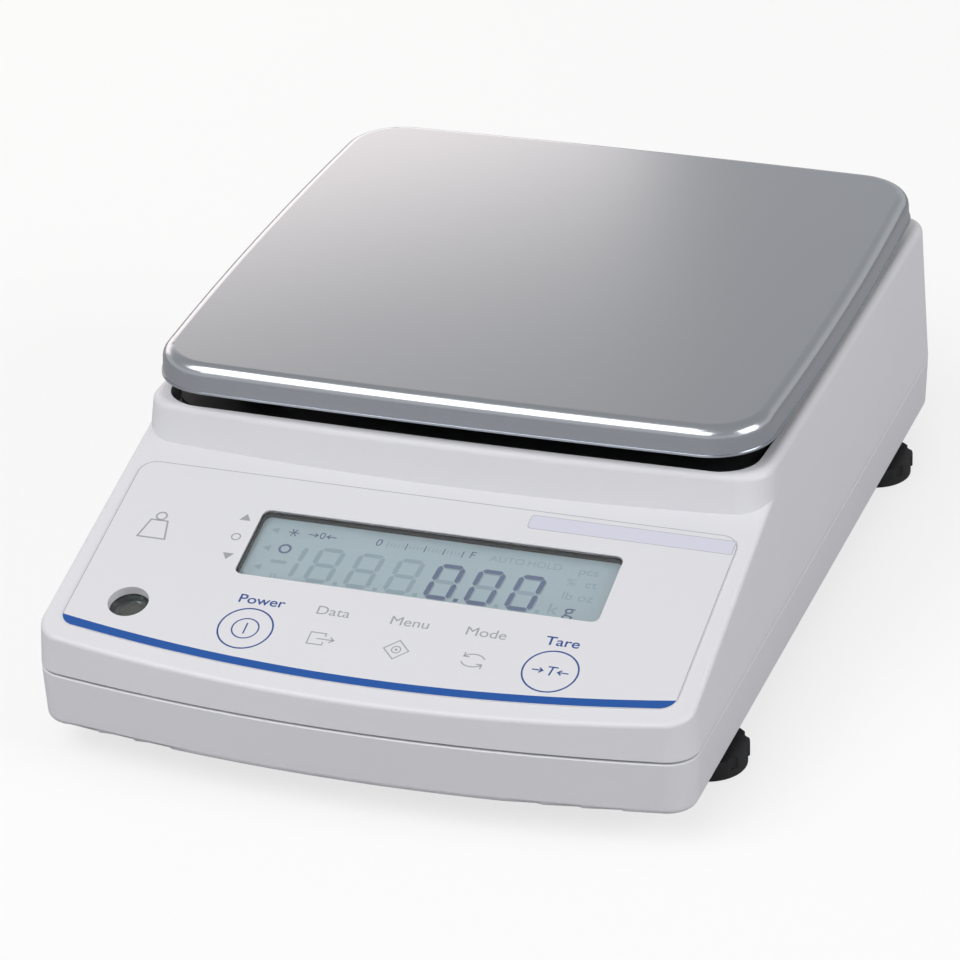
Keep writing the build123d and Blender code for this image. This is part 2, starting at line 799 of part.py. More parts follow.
# Serial connector: a flange with a D-shaped shell
with BuildPart() as serial_shell:
    with BuildSketch(rear_plane):
        with Locations((-serial_x, serial_z)):
            Rectangle(serial_flange_width, serial_flange_height)
        with Locations(jackscrew_places):
            Circle(jackscrew_bore_radius + jackscrew_thread + screw_clearance, mode=Mode.SUBTRACT)
    extrude(amount=-serial_flange_thickness)
    extrude(d_shape(0.0), amount=shell_length)
    extrude(d_shape(serial_shell_wall), amount=shell_length, mode=Mode.SUBTRACT)
    extrude(d_shape(serial_shell_wall), amount=-serial_flange_thickness, mode=Mode.SUBTRACT)
save(serial_shell, "serial_shell")

# Its insert stands a little way out inside the shell, with two rows of pins
pin_places = [(serial_pin_pitch * (i - 2) - serial_x, serial_z + serial_row_pitch / 2) for i in range(5)]
pin_places += [(serial_pin_pitch * (i - 1.5) - serial_x, serial_z - serial_row_pitch / 2) for i in range(4)]
with BuildPart() as serial_insert:
    with BuildSketch(rear_plane.offset(-serial_flange_thickness)):
        with Locations((-serial_x, serial_z)):
            Rectangle(serial_body_width, serial_flange_height)
    extrude(amount=-serial_body_length)
    extrude(d_shape(serial_shell_wall), amount=serial_insert_reach)
    extrude(d_shape(serial_shell_wall), amount=-serial_flange_thickness)
    with BuildSketch(rear_plane.offset(serial_insert_reach)):
        with Locations(pin_places):
            Circle(serial_pin_radius)
    extrude(amount=shell_length - serial_insert_reach - serial_pin_drop)
save(serial_insert, "serial_insert")

# Jack screws: hexagonal, with a threaded bore and a threaded end in the flange
with BuildPart() as jackscrews:
    with BuildSketch(rear_plane):
        with Locations(jackscrew_places):
            RegularPolygon(jackscrew_radius, 6)
    extrude(amount=shell_length)
    with BuildSketch(rear_plane):
        with Locations(jackscrew_places):
            Circle(jackscrew_bore_radius + jackscrew_thread)
    extrude(amount=-serial_flange_thickness)
    with BuildSketch(rear_plane.offset(shell_length)):
        with Locations(jackscrew_places):
            Circle(jackscrew_bore_radius)
    extrude(amount=-jackscrew_bore_depth, mode=Mode.SUBTRACT)
save(jackscrews, "jackscrews")

# Power jack with its bore, and the centre pin in it
with BuildPart() as power_jack:
    with BuildSketch(rear_plane):
        with Locations((-power_x, power_z)):
            Rectangle(power_width, power_height)
    extrude(amount=-power_length)
    with BuildSketch(rear_plane):
        with Locations((-power_x, power_z)):
            Circle(power_bore_radius)
    extrude(amount=-power_bore_depth, mode=Mode.SUBTRACT)
save(power_jack, "power_jack")

with BuildPart() as power_pin:
    with BuildSketch(rear_plane.offset(-power_bore_depth)):
        with Locations((-power_x, power_z)):
            Circle(power_pin_radius)
    extrude(amount=power_bore_depth - power_pin_drop)
    fillet(power_pin.edges().group_by(Axis.Y)[-1], power_pin_radius / 2)
save(power_pin, "power_pin")

# Film over the panel
with BuildPart() as panel_film:
    extrude(film_plan(0.0), amount=film_thickness)
    extrude(window_plan(0.0), amount=film_thickness, mode=Mode.SUBTRACT)
    with BuildSketch(panel):
        with Locations(key_places):
            Circle(key_radius + key_gap)
        with Locations((level_x, level_v)):
            Circle(level_hole_radius)
    extrude(amount=film_thickness, mode=Mode.SUBTRACT)
save(panel_film, "panel_film")

# Clear pane let into the panel under the film
with BuildPart() as display_pane:
    extrude(window_plan(0.0, pane_border), amount=-pane_thickness)
save(display_pane, "display_pane")

# Frame round the display, between the panel and the display board
with BuildPart() as display_frame:
    extrude(window_plan(wall, glass_border + glass_gap + frame_wall), amount=wall - display_board_depth)
    extrude(window_plan(wall), amount=-frame_lip, mode=Mode.SUBTRACT)
    extrude(
        window_plan(frame_top, glass_border + glass_gap),
        amount=frame_top - display_board_depth,
        mode=Mode.SUBTRACT,
    )
save(display_frame, "display_frame")

with BuildPart() as display_glass:
    extrude(window_plan(frame_top, glass_border), amount=-glass_thickness)
save(display_glass, "display_glass")

# Light guide behind the display glass
with BuildPart() as light_guide:
    extrude(
        window_plan(frame_top + glass_thickness, glass_border),
        amount=frame_top + glass_thickness - display_board_depth,
    )
save(light_guide, "light_guide")

# Display board with the key switches
with BuildPart() as display_board:
    with BuildSketch(panel.offset(-display_board_depth)):
        with Locations((display_board_x, display_board_v)):
            Rectangle(display_board_width, display_board_height)
        with Locations(board_corners):
            Circle(small_screw_radius + screw_clearance, mode=Mode.SUBTRACT)
    extrude(amount=-board_thickness)
save(display_board, "display_board")

with BuildPart() as key_switches:
    with BuildSketch(panel.offset(-display_board_depth)):
        with Locations(key_places):
            Rectangle(switch_size, switch_size)
    extrude(amount=switch_height)
    with BuildSketch(panel.offset(switch_height - display_board_depth)):
        with Locations(key_places):
            Circle(key_stem_radius + key_stem_gap)
    extrude(amount=-(switch_entry + 2 * key_travel), mode=Mode.SUBTRACT)
save(key_switches, "key_switches")

# Keys: a cap flush with the film, a flange under the panel and a stem
for key_name, place in zip(key_names, key_places):
    with BuildPart() as key:
        with BuildSketch(panel.offset(film_thickness)):
            with Locations(place):
                Circle(key_radius)
        extrude(amount=-(film_thickness + wall))
        fillet(key.faces().sort_by(Axis.Z)[-1].edges(), key_edge)
        with BuildSketch(panel.offset(-wall)):
            with Locations(place):
                Circle(key_radius + key_flange)
        extrude(amount=-key_flange_thickness)
        with BuildSketch(panel.offset(-wall - key_flange_thickness)):
            with Locations(place):
                Circle(key_stem_radius)
        extrude(amount=wall + key_flange_thickness + switch_height - switch_entry - display_board_depth)
    save(key, f"key_{key_name}")

# Spirit level: a closed vial in a cup under the panel
with BuildPart() as level_vial:
    with BuildSketch(panel.offset(-wall)):
        with Locations((level_x, level_v)):
            Circle(vial_radius)
    extrude(amount=-vial_height)
    with BuildSketch(panel.offset(-wall - vial_wall)):
        with Locations((level_x, level_v)):
            Circle(vial_radius - vial_wall)
    extrude(amount=2 * vial_wall - vial_height, mode=Mode.SUBTRACT)
save(level_vial, "level_vial")

with BuildPart() as level_cup:
    with BuildSketch(panel.offset(-wall)):
        with Locations((level_x, level_v)):
            Circle(vial_radius + level_cup_gap + level_cup_wall)
    extrude(amount=-(vial_height + level_cup_floor))
    with BuildSketch(panel.offset(-wall)):
        with Locations((level_x, level_v)):
            Circle(vial_radius + level_cup_gap + level_cup_wall + level_cup_flange)
    extrude(amount=-level_cup_wall)
    with BuildSketch(panel.offset(-wall)):
        with Locations((level_x, level_v)):
            Circle(vial_radius + level_cup_gap)
    extrude(amount=-vial_height, mode=Mode.SUBTRACT)
save(level_cup, "level_cup")

# Board screws: pan heads under the display board and over the main board
with BuildPart() as board_screws:
    with BuildSketch(panel.offset(-display_board_depth - board_thickness)):
        with Locations(board_corners):
            Circle(small_screw_head_radius)
    extrude(amount=-small_screw_head_height)
    with BuildSketch(panel.offset(-display_board_depth - board_thickness)):
        with Locations(board_corners):
            Circle(small_screw_radius)
    extrude(amount=board_thickness + small_screw_grip)
    with BuildSketch(Plane.XY.offset(main_board_top)):
        with Locations(main_board_corners):
            Circle(small_screw_head_radius)
    extrude(amount=small_screw_head_height)
    with BuildSketch(Plane.XY.offset(main_board_top)):
        with Locations(main_board_corners):
            Circle(small_screw_radius)
    extrude(amount=-(board_thickness + small_screw_grip))
save(board_screws, "board_screws")

# Threaded bushes of the feet
bush_top = floor_top + bush_boss_height
with BuildPart() as foot_bushes:
    with BuildSketch(Plane.XY.offset(base_height)):
        with Locations(*foot_places.values()):
            Circle(bush_radius)
    extrude(amount=bush_top - base_height)
    with BuildSketch(Plane.XY.offset(bush_top)):
        with Locations(*foot_places.values()):
            Circle(bush_flange_radius)
    extrude(amount=bush_flange_height)
    with BuildSketch(Plane.XY.offset(base_height)):
        with Locations(*foot_places.values()):
            Circle(foot_stud_radius + thread_clearance)
    extrude(amount=bush_top + bush_flange_height - base_height, mode=Mode.SUBTRACT)
save(foot_bushes, "foot_bushes")

# Levelling feet: a rubber pad that stays still, and a fluted knob on its stud
knob_bottom = foot_pad_height + foot_turn_gap
for foot_name, place in foot_places.items():
    with BuildPart() as foot_pad:
        with BuildSketch():
            with Locations(place):
                Circle(foot_pad_radius)
        extrude(amount=foot_pad_height)
        fillet(foot_pad.edges().group_by(Axis.Z)[0], foot_pad_edge)
        with BuildSketch(Plane.XY.offset(foot_pad_height)):
            with Locations(place):
                Circle(foot_spigot_radius)
        extrude(amount=foot_spigot_height)
    save(foot_pad, f"foot_pad_{foot_name}")

    with BuildPart() as foot_knob:
        with BuildSketch(Plane.XY.offset(knob_bottom)):
            with Locations(place):
                Circle(foot_knob_radius)
                with PolarLocations(foot_knob_radius + foot_flute_radius - foot_flute_depth, foot_flutes):
                    Circle(foot_flute_radius, mode=Mode.SUBTRACT)
        extrude(amount=foot_knob_height)
        with BuildSketch(Plane.XY.offset(knob_bottom + foot_knob_height)):
            with Locations(place):
                Circle(foot_stud_radius)
        extrude(amount=foot_stud_length)
        with BuildSketch(Plane.XY.offset(knob_bottom)):
            with Locations(place):
                Circle(foot_spigot_radius + foot_turn_gap)
        extrude(amount=foot_spigot_height + foot_turn_gap, mode=Mode.SUBTRACT)
    save(foot_knob, f"foot_knob_{foot_name}")

# Cover of the hole for weighing below the balance
with BuildPart() as hook_cover:
    with BuildSketch(Plane((0, pan_y, base_height))):
        Circle(hook_cover_radius)
    extrude(amount=-hook_cover_height)
    fillet(hook_cover.edges().group_by(Axis.Z)[0], hook_cover_height / 2)
    with BuildSketch(Plane((0, pan_y, base_height))):
        Circle(hook_hole_radius - hook_cover_gap)
    extrude(amount=wall)
save(hook_cover, "hook_cover")

# Flat cable from the display board back and down to the main board
board_end = display_board_v + display_board_height / 2 - header_size
board_under = display_board_depth + board_thickness
start_y = front + board_end * cos(slope) + board_under * sin(slope)
start_z = panel_front_height + board_end * sin(slope) - board_under * cos(slope) - ribbon_gap
end_y = main_board_y - main_board_length / 2 + header_size
run_z = start_z - ribbon_drop
with BuildPart() as ribbon_cable:
    with BuildSketch(Plane.YZ.offset(main_board_x - ribbon_width / 2)):
        with BuildLine():
            FilletPolyline(
                (start_y, start_z),
                (start_y, run_z),
                (end_y, run_z),
                (end_y, main_board_top + ribbon_gap),
                radius=min(ribbon_bend, abs(run_z - main_board_top) / 2),
            )
        trace(line_width=ribbon_thickness)
    extrude(amount=ribbon_width)
save(ribbon_cable, "ribbon_cable")
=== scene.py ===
import logging
import math
from collections.abc import Sequence
from dataclasses import dataclass, field
from enum import Enum

import bpy
from mathutils import Matrix, Vector


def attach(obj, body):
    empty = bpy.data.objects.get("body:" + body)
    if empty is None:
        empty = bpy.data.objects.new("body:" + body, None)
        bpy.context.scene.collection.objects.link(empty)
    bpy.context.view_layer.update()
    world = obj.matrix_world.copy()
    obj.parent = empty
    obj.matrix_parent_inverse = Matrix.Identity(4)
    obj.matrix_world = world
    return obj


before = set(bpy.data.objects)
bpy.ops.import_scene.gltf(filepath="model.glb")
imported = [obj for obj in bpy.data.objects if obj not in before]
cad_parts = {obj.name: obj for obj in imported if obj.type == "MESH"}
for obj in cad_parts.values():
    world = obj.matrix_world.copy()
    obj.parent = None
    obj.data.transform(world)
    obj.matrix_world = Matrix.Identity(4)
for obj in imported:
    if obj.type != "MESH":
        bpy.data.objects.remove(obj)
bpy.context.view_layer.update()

log = logging.getLogger("balance")
MM = 0.001
Point = tuple[float, float]


class Body(Enum):
    """Bodies of the frame that new pieces ride on."""

    CASE = "case"
    POWER = "key_power"
    PRINT = "key_print"
    SET = "key_set"
    FUNCTION = "key_function"
    TARE = "key_tare"


def linear(code: str) -> tuple[float, float, float, float]:
    """Turns an sRGB hex colour into linear light.

    Args:
        code: Six hex digits after a hash.

    Returns:
        Linear red, green, blue and an alpha of one.
    """
    parts = [int(code[i:i + 2], 16) / 255 for i in (1, 3, 5)]
    red, green, blue = (c / 12.92 if c <= 0.04045 else ((c + 0.055) / 1.055) ** 2.4 for c in parts)
    return red, green, blue, 1.0


def add_node(
    tree: bpy.types.NodeTree, kind: str, values: dict | None = None, links: dict | None = None
) -> bpy.types.Node:
    """Adds a shader node with its settings and links.

    Args:
        tree: Node tree that gets the node.
        kind: Type name of the node.
        values: Settings and socket values, by name or socket number.
        links: Sockets that feed it, by name or number of the input.

    Returns:
        The new node.
    """
    node = tree.nodes.new(kind)
    for name, value in (values or {}).items():
        if isinstance(name, str) and hasattr(node, name):
            setattr(node, name, value)
        else:
            node.inputs[name].default_value = value
    for name, source in (links or {}).items():
        tree.links.new(source, node.inputs[name])
    return node


@dataclass(frozen=True)
class Finish:
    """A surface: a slow change of tone, and a grain in its gloss and relief.

    Attributes:
        name: What the surface is, which names its material.
        colour: Main colour, as sRGB hex.
        shade: Colour that it drifts to.
        roughness: Middle of its roughness.
        swing: How far the grain moves the roughness either way.
        metallic: One for bare metal.
        ior: Index of refraction, kept at its default for metal.
        clear: How much light goes through.
        coat: Weight of a clear layer on top.
        patch: Size of the slow drift, in mm.
        grain: Size of the grain, in mm.
        relief: Height of the grain, in mm.
        stretch: Share of the pattern's scale along each axis.
    """

    name: str
    colour: str
    shade: str
    roughness: float
    swing: float = 0.04
    metallic: float = 0.0
    ior: float = 1.5
    clear: float = 0.0
    coat: float = 0.0
    patch: float = 60.0
    grain: float = 0.6
    relief: float = 0.01
    stretch: tuple[float, float, float] = (1.0, 1.0, 1.0)

    def material(self) -> bpy.types.Material:
        """Makes the material the first time it is asked for.

        Returns:
            The material of this finish.
        """
        made = bpy.data.materials.get(self.name)
        if made:
            return made
        made = bpy.data.materials.new(self.name)
        made.use_nodes = True
        tree = made.node_tree
        tree.nodes.clear()
        where = add_node(tree, "ShaderNodeTexCoord").outputs["Object"]
        drift = add_node(
            tree, "ShaderNodeTexNoise", {"Scale": 1 / (self.patch * MM), "Detail": 3.0}, {"Vector": where}
        )
        turned = add_node(tree, "ShaderNodeMapping", {"Scale": self.stretch}, {"Vector": where})
        grain = add_node(
            tree, "ShaderNodeTexNoise", {"Scale": 1 / (self.grain * MM), "Detail": 2.0},
            {"Vector": turned.outputs["Vector"]}
        )
        tone = add_node(
            tree,
            "ShaderNodeMix",
            {"data_type": "RGBA", 6: linear(self.colour), 7: linear(self.shade)},
            {0: self.tone_factor(tree, drift, grain)},
        )
        gloss = add_node(
            tree,
            "ShaderNodeMapRange",
            {"To Min": self.roughness - self.swing, "To Max": self.roughness + self.swing},
            {"Value": grain.outputs["Fac"]},
        )
        bump = add_node(
            tree, "ShaderNodeBump", {"Distance": self.relief * MM}, {"Height": grain.outputs["Fac"]}
        )
        shader = add_node(
            tree,
            "ShaderNodeBsdfPrincipled",
            {
                "Metallic": self.metallic,
                "IOR": self.ior,
                "Transmission Weight": self.clear,
                "Coat Weight": self.coat,
            },
            {
                "Base Color": tone.outputs[2], "Roughness": gloss.outputs["Result"],
                "Normal": bump.outputs["Normal"]
            },
        )
        add_node(tree, "ShaderNodeOutputMaterial", links={"Surface": shader.outputs["BSDF"]})
        return made

    def tone_factor(
        self, tree: bpy.types.NodeTree, drift: bpy.types.Node, grain: bpy.types.Node
    ) -> bpy.types.NodeSocket:
        """Gives the socket that mixes the colour with its shade: here the slow drift."""
        return drift.outputs["Fac"]


@dataclass(frozen=True)
class CircuitBoard(Finish):
    """Glass-epoxy board: copper tracks show as lighter lines under green lacquer."""

    pitch: float = 2.54

    def tone_factor(
        self, tree: bpy.types.NodeTree, drift: bpy.types.Node, grain: bpy.types.Node
    ) -> bpy.types.NodeSocket:
        """Mixes by a pattern of tracks.

        Args:
            tree: Node tree of the material.
            drift: Slow noise, not used here.
            grain: Fine noise, not used here.

        Returns:
            Socket that is one on the tracks.
        """
        where = add_node(tree, "ShaderNodeTexCoord").outputs["Object"]
        bricks = add_node(
            tree,
            "ShaderNodeTexBrick",
            {
                "Scale": 0.5 / (self.pitch * MM), "Mortar Size": 0.07, "Color1": (0, 0, 0, 1),
                "Color2": (0, 0, 0, 1), "Mortar": (1, 1, 1, 1)
            },
            {"Vector": where},
        )
        return bricks.outputs["Color"]


@dataclass(frozen=True)
class FlatCable(Finish):
    """Ribbon cable: round strands side by side, so it is ribbed across its width."""

    strand: float = 1.27

    def tone_factor(
        self, tree: bpy.types.NodeTree, drift: bpy.types.Node, grain: bpy.types.Node
    ) -> bpy.types.NodeSocket:
        """Mixes by stripes as wide as one strand.

        Args:
            tree: Node tree of the material.
            drift: Slow noise, not used here.
            grain: Fine noise, not used here.

        Returns:
            Socket that swings once per strand.
        """
        where = add_node(tree, "ShaderNodeTexCoord").outputs["Object"]
        ribs = add_node(
            tree, "ShaderNodeTexWave", {"bands_direction": "X", "Scale": 0.314 / (self.strand * MM)},
            {"Vector": where}
        )
        return ribs.outputs["Fac"]


# ABS, moulded in a spark-eroded tool: an even satin that takes the edge off
# every highlight. Its real grain of 0.1 mm is drawn at 0.5 mm to show at all.
MOULDED_ABS = Finish(
    "moulded_abs_light_grey", "#dfdfe3", "#d9d9de", 0.42, 0.05, patch=90, grain=0.5, relief=0.006
)
# Stainless sheet, ground and lightly blasted: soft reflections without a
# direction. The blasted grain is 0.05 mm, drawn at 0.4 mm.
SATIN_STAINLESS = Finish(
    "satin_stainless_steel", "#c3c7cd", "#bec3ca", 0.22, 0.015, 1.0, patch=120, grain=0.4, relief=0.0001
)
# Black ABS, moulded: near black with a grey sheen where the light grazes it.
BLACK_ABS = Finish("moulded_abs_black", "#17181a", "#1d1e20", 0.48, 0.06, grain=0.5, relief=0.01)
# Natural rubber pads: matt and slightly dusty.
BLACK_RUBBER = Finish(
    "moulded_rubber_black", "#1a1a1b", "#232323", 0.72, 0.06, patch=8, grain=0.4, relief=0.02
)
# Glass-filled nylon knobs: black, with the faint mottling of the fibres.
BLACK_NYLON = Finish(
    "glass_filled_nylon_black", "#151617", "#202123", 0.5, 0.08, patch=5, grain=0.3, relief=0.01
)
# Polyester film with a velvet hard coat: its print shows through a soft gloss.
VELVET_FILM = Finish(
    "velvet_polyester_film", "#dedee2", "#dadade", 0.36, 0.03, ior=1.57, patch=100, grain=0.4, relief=0.002
)
# Screen inks under the film, each even but not quite solid.
BLUE_INK = Finish("screen_ink_blue", "#124e9e", "#17549f", 0.34, 0.03, patch=20, grain=0.4, relief=0.001)
NAVY_INK = Finish("screen_ink_navy", "#2c4a8c", "#324f8e", 0.36, 0.03, patch=6, grain=0.3, relief=0.001)
GREY_INK = Finish("screen_ink_grey", "#9a9ba1", "#a3a4aa", 0.36, 0.03, patch=6, grain=0.3, relief=0.001)
PALE_INK = Finish("screen_ink_lavender", "#d3d3e0", "#d0d0de", 0.34, 0.03, patch=30, grain=0.4, relief=0.001)
# Cast acrylic: clear, glossy, with hardly any ripple.
CLEAR_ACRYLIC = Finish(
    "clear_acrylic", "#fafcfc", "#f7fafa", 0.03, 0.01, ior=1.49, clear=1.0, patch=40, grain=8, relief=0.0005
)
# Display glass with its grey polariser over a matt silver reflector.
DISPLAY_GLASS = Finish(
    "display_polariser", "#ccdfe8", "#c4d7e1", 0.3, 0.03, coat=0.4, patch=70, grain=0.8, relief=0.001
)
# Segments that are off stay faintly visible; those that are on turn slate
# blue. Their soft shadow on the reflector behind them is painted: a darker copy, offset.
SEGMENT_OFF = Finish(
    "display_segment_off", "#a9bfcd", "#aec3d0", 0.32, 0.03, patch=10, grain=0.8, relief=0.0
)
SEGMENT_ON = Finish("display_segment_on", "#66779f", "#6d7ea6", 0.32, 0.03, patch=10, grain=0.8, relief=0.0)
SEGMENT_SHADOW = Finish(
    "display_segment_shadow", "#a3b6c3", "#a7bac7", 0.32, 0.03, patch=10, grain=0.8, relief=0.0
)
# Milk-white acrylic that spreads the light behind the display.
MILK_ACRYLIC = Finish(
    "milk_white_acrylic", "#e6eaea", "#dfe4e5", 0.35, 0.04, ior=1.49, patch=30, grain=2, relief=0.002
)
# Spirit level: acrylic vial, faintly yellow-green spirit, and the air bubble.
VIAL_ACRYLIC = Finish(
    "vial_acrylic", "#f2f6f0", "#eef3ec", 0.04, 0.01, ior=1.49, clear=1.0, patch=20, grain=6, relief=0.0005
)
LEVEL_SPIRIT = Finish(
    "level_spirit", "#ccd4db", "#c6cfd6", 0.05, 0.01, ior=1.36, clear=1.0, patch=10, grain=5, relief=0.0005
)
AIR_BUBBLE = Finish(
    "air_bubble", "#fbfcf8", "#f5f8f0", 0.06, 0.01, ior=1.12, clear=1.0, patch=5, grain=3, relief=0.0005
)
# Aluminium: milled blocks show cutter lines; the cast base is matt and mottled.
MILLED_ALLOY = Finish(
    "milled_aluminium", "#c4c6c9", "#b9bcc0", 0.3, 0.08, 1.0, patch=25, grain=0.5, relief=0.003,
    stretch=(0.05, 1.0, 1.0)
)
CAST_ALLOY = Finish(
    "cast_aluminium", "#9c9ea1", "#8b8d91", 0.55, 0.08, 1.0, patch=12, grain=0.9, relief=0.05
)
# Elastic nickel alloy of the sensor, ground along its length.
GROUND_ALLOY = Finish(
    "ground_elastic_alloy", "#bdb7aa", "#b1ab9f", 0.26, 0.06, 1.0, patch=8, grain=0.3, relief=0.001,
    stretch=(1.0, 0.05, 1.0)
)
ZINC_STEEL = Finish(
    "zinc_plated_steel", "#b4b8bf", "#a3a49b", 0.32, 0.07, 1.0, patch=3, grain=0.3, relief=0.002
)
TURNED_BRASS = Finish(
    "turned_brass", "#c9a552", "#b8923f", 0.3, 0.07, 1.0, patch=6, grain=0.3, relief=0.002,
    stretch=(1.0, 1.0, 0.1)
)
NICKEL_PLATE = Finish(
    "nickel_plate", "#cfccc4", "#c4c0b6", 0.22, 0.05, 1.0, patch=5, grain=0.5, relief=0.001
)
BLACK_INSERT = Finish("moulded_pbt_black", "#1c1d1f", "#242528", 0.4, 0.05, patch=6, grain=0.3, relief=0.005)
GREEN_BOARD = CircuitBoard("glass_epoxy_board", "#0f4a2a", "#2b7a49", 0.38, 0.05, grain=0.4, relief=0.003)
GREY_RIBBON = FlatCable("grey_pvc_ribbon", "#8f9298", "#a5a8ad", 0.5, 0.05, grain=0.4, relief=0.004)


def dress(finishes: dict[str, Finish]) -> None:
    """Gives nodes of the frame their finish.

    Args:
        finishes: Finish of each node, by its name.
    """
    for name, finish in finishes.items():
        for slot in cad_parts[name].material_slots:
            slot.material = finish.material()
        log.info("dressed %s in %s", name, finish.name)


def only(piece: bpy.types.Object) -> None:
    """Makes a piece the one selected and active object."""
    bpy.ops.object.select_all(action="DESELECT")
    piece.select_set(True)
    bpy.context.view_layer.objects.active = piece


def mount(piece: bpy.types.Object, name: str, finish: Finish, body: Body) -> bpy.types.Object:
    """Names a finished piece, dresses it and hangs it on its body.

    Args:
        piece: The piece, with its place in its mesh.
        name: Name of the piece.
        finish: Its finish.
        body: Body that it rides on.

    Returns:
        The same piece.
    """
    piece.name = piece.data.name = name
    piece.data.materials.clear()
    piece.data.materials.append(finish.material())
    log.info("built %s on %s", name, body.value)
    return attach(piece, body.value)


def circle(centre: Point, radius: float, count: int = 72) -> list[Point]:
    """Gives points round a circle, anticlockwise."""
    turns = [2 * math.pi * i / count for i in range(count)]
    return [(centre[0] + radius * math.cos(a), centre[1] + radius * math.sin(a)) for a in turns]


def arc(centre: Point, radius: float, start: float, end: float, count: int = 24) -> list[Point]:
    """Gives points along an arc.

    Args:
        centre: Centre of the arc.
        radius: Its radius.
        start: First angle, in degrees.
        end: Last angle, in degrees.
        count: Number of points.

    Returns:
        The points from start to end.
    """
    turns = [math.radians(start + (end - start) * i / (count - 1)) for i in range(count)]
    return [(centre[0] + radius * math.cos(a), centre[1] + radius * math.sin(a)) for a in turns]


def ribbon(path: Sequence[Point], width: float) -> list[Point]:
    """Gives the outline of an even stroke along a path.

    Args:
        path: Points of its middle line.
        width: Width of the stroke.

    Returns:
        Points round the stroke.
    """
    left, right = [], []
    for i, (x, y) in enumerate(path):
        before, after = path[max(i - 1, 0)], path[min(i + 1, len(path) - 1)]
        first = Vector((x - before[0], y - before[1])).normalized() if i else None
        last = Vector((after[0] - x, after[1] - y)).normalized() if i < len(path) - 1 else first
        first = first or last
        along = (first + last).normalized()
        reach = width / 2 / max(along.dot(first), 0.5)
        left.append((x - along.y * reach, y + along.x * reach))
        right.append((x + along.y * reach, y - along.x * reach))
    return left + right[::-1]


def offset(corners: Sequence[Point], grow: float) -> list[Point]:
    """Moves the sides of a polygon outwards.

    Args:
        corners: Its corners, anticlockwise.
        grow: How far the sides move.

    Returns:
        The moved corners.
    """
    moved = []
    for i, corner in enumerate(corners):
        point = Vector(corner)
        first = (point - Vector(corners[i - 1])).normalized()
        last = (Vector(corners[(i + 1) % len(corners)]) - point).normalized()
        out = (Vector((first.y, -first.x)) + Vector((last.y, -last.x))).normalized()
        moved.append(tuple(point + out * grow / out.dot(Vector((first.y, -first.x)))))
    return moved


@dataclass(frozen=True)
class Panel:
    """Plane of the sloping panel, in mm: across from the middle, and up from the front."""

    front: float = -151.7
    height: float = 38.0
    slope: float = 15.8

    def lay(self, piece: bpy.types.Object, lift: float) -> None:
        """Lays a piece that was drawn flat in mm into the plane.

        Args:
            piece: The piece, selected on its own afterwards.
            lift: Its height over the plane.
        """
        only(piece)
        place = Matrix.Translation((0, self.front * MM, self.height * MM))
        turn = Matrix.Rotation(math.radians(self.slope), 4, "X")
        piece.matrix_world = (
            place @ turn @ Matrix.Scale(MM, 4) @ Matrix.Translation((0, 0, lift)) @ piece.matrix_world
        )
        bpy.ops.object.transform_apply(location=True, rotation=True, scale=True)


PANEL = Panel()


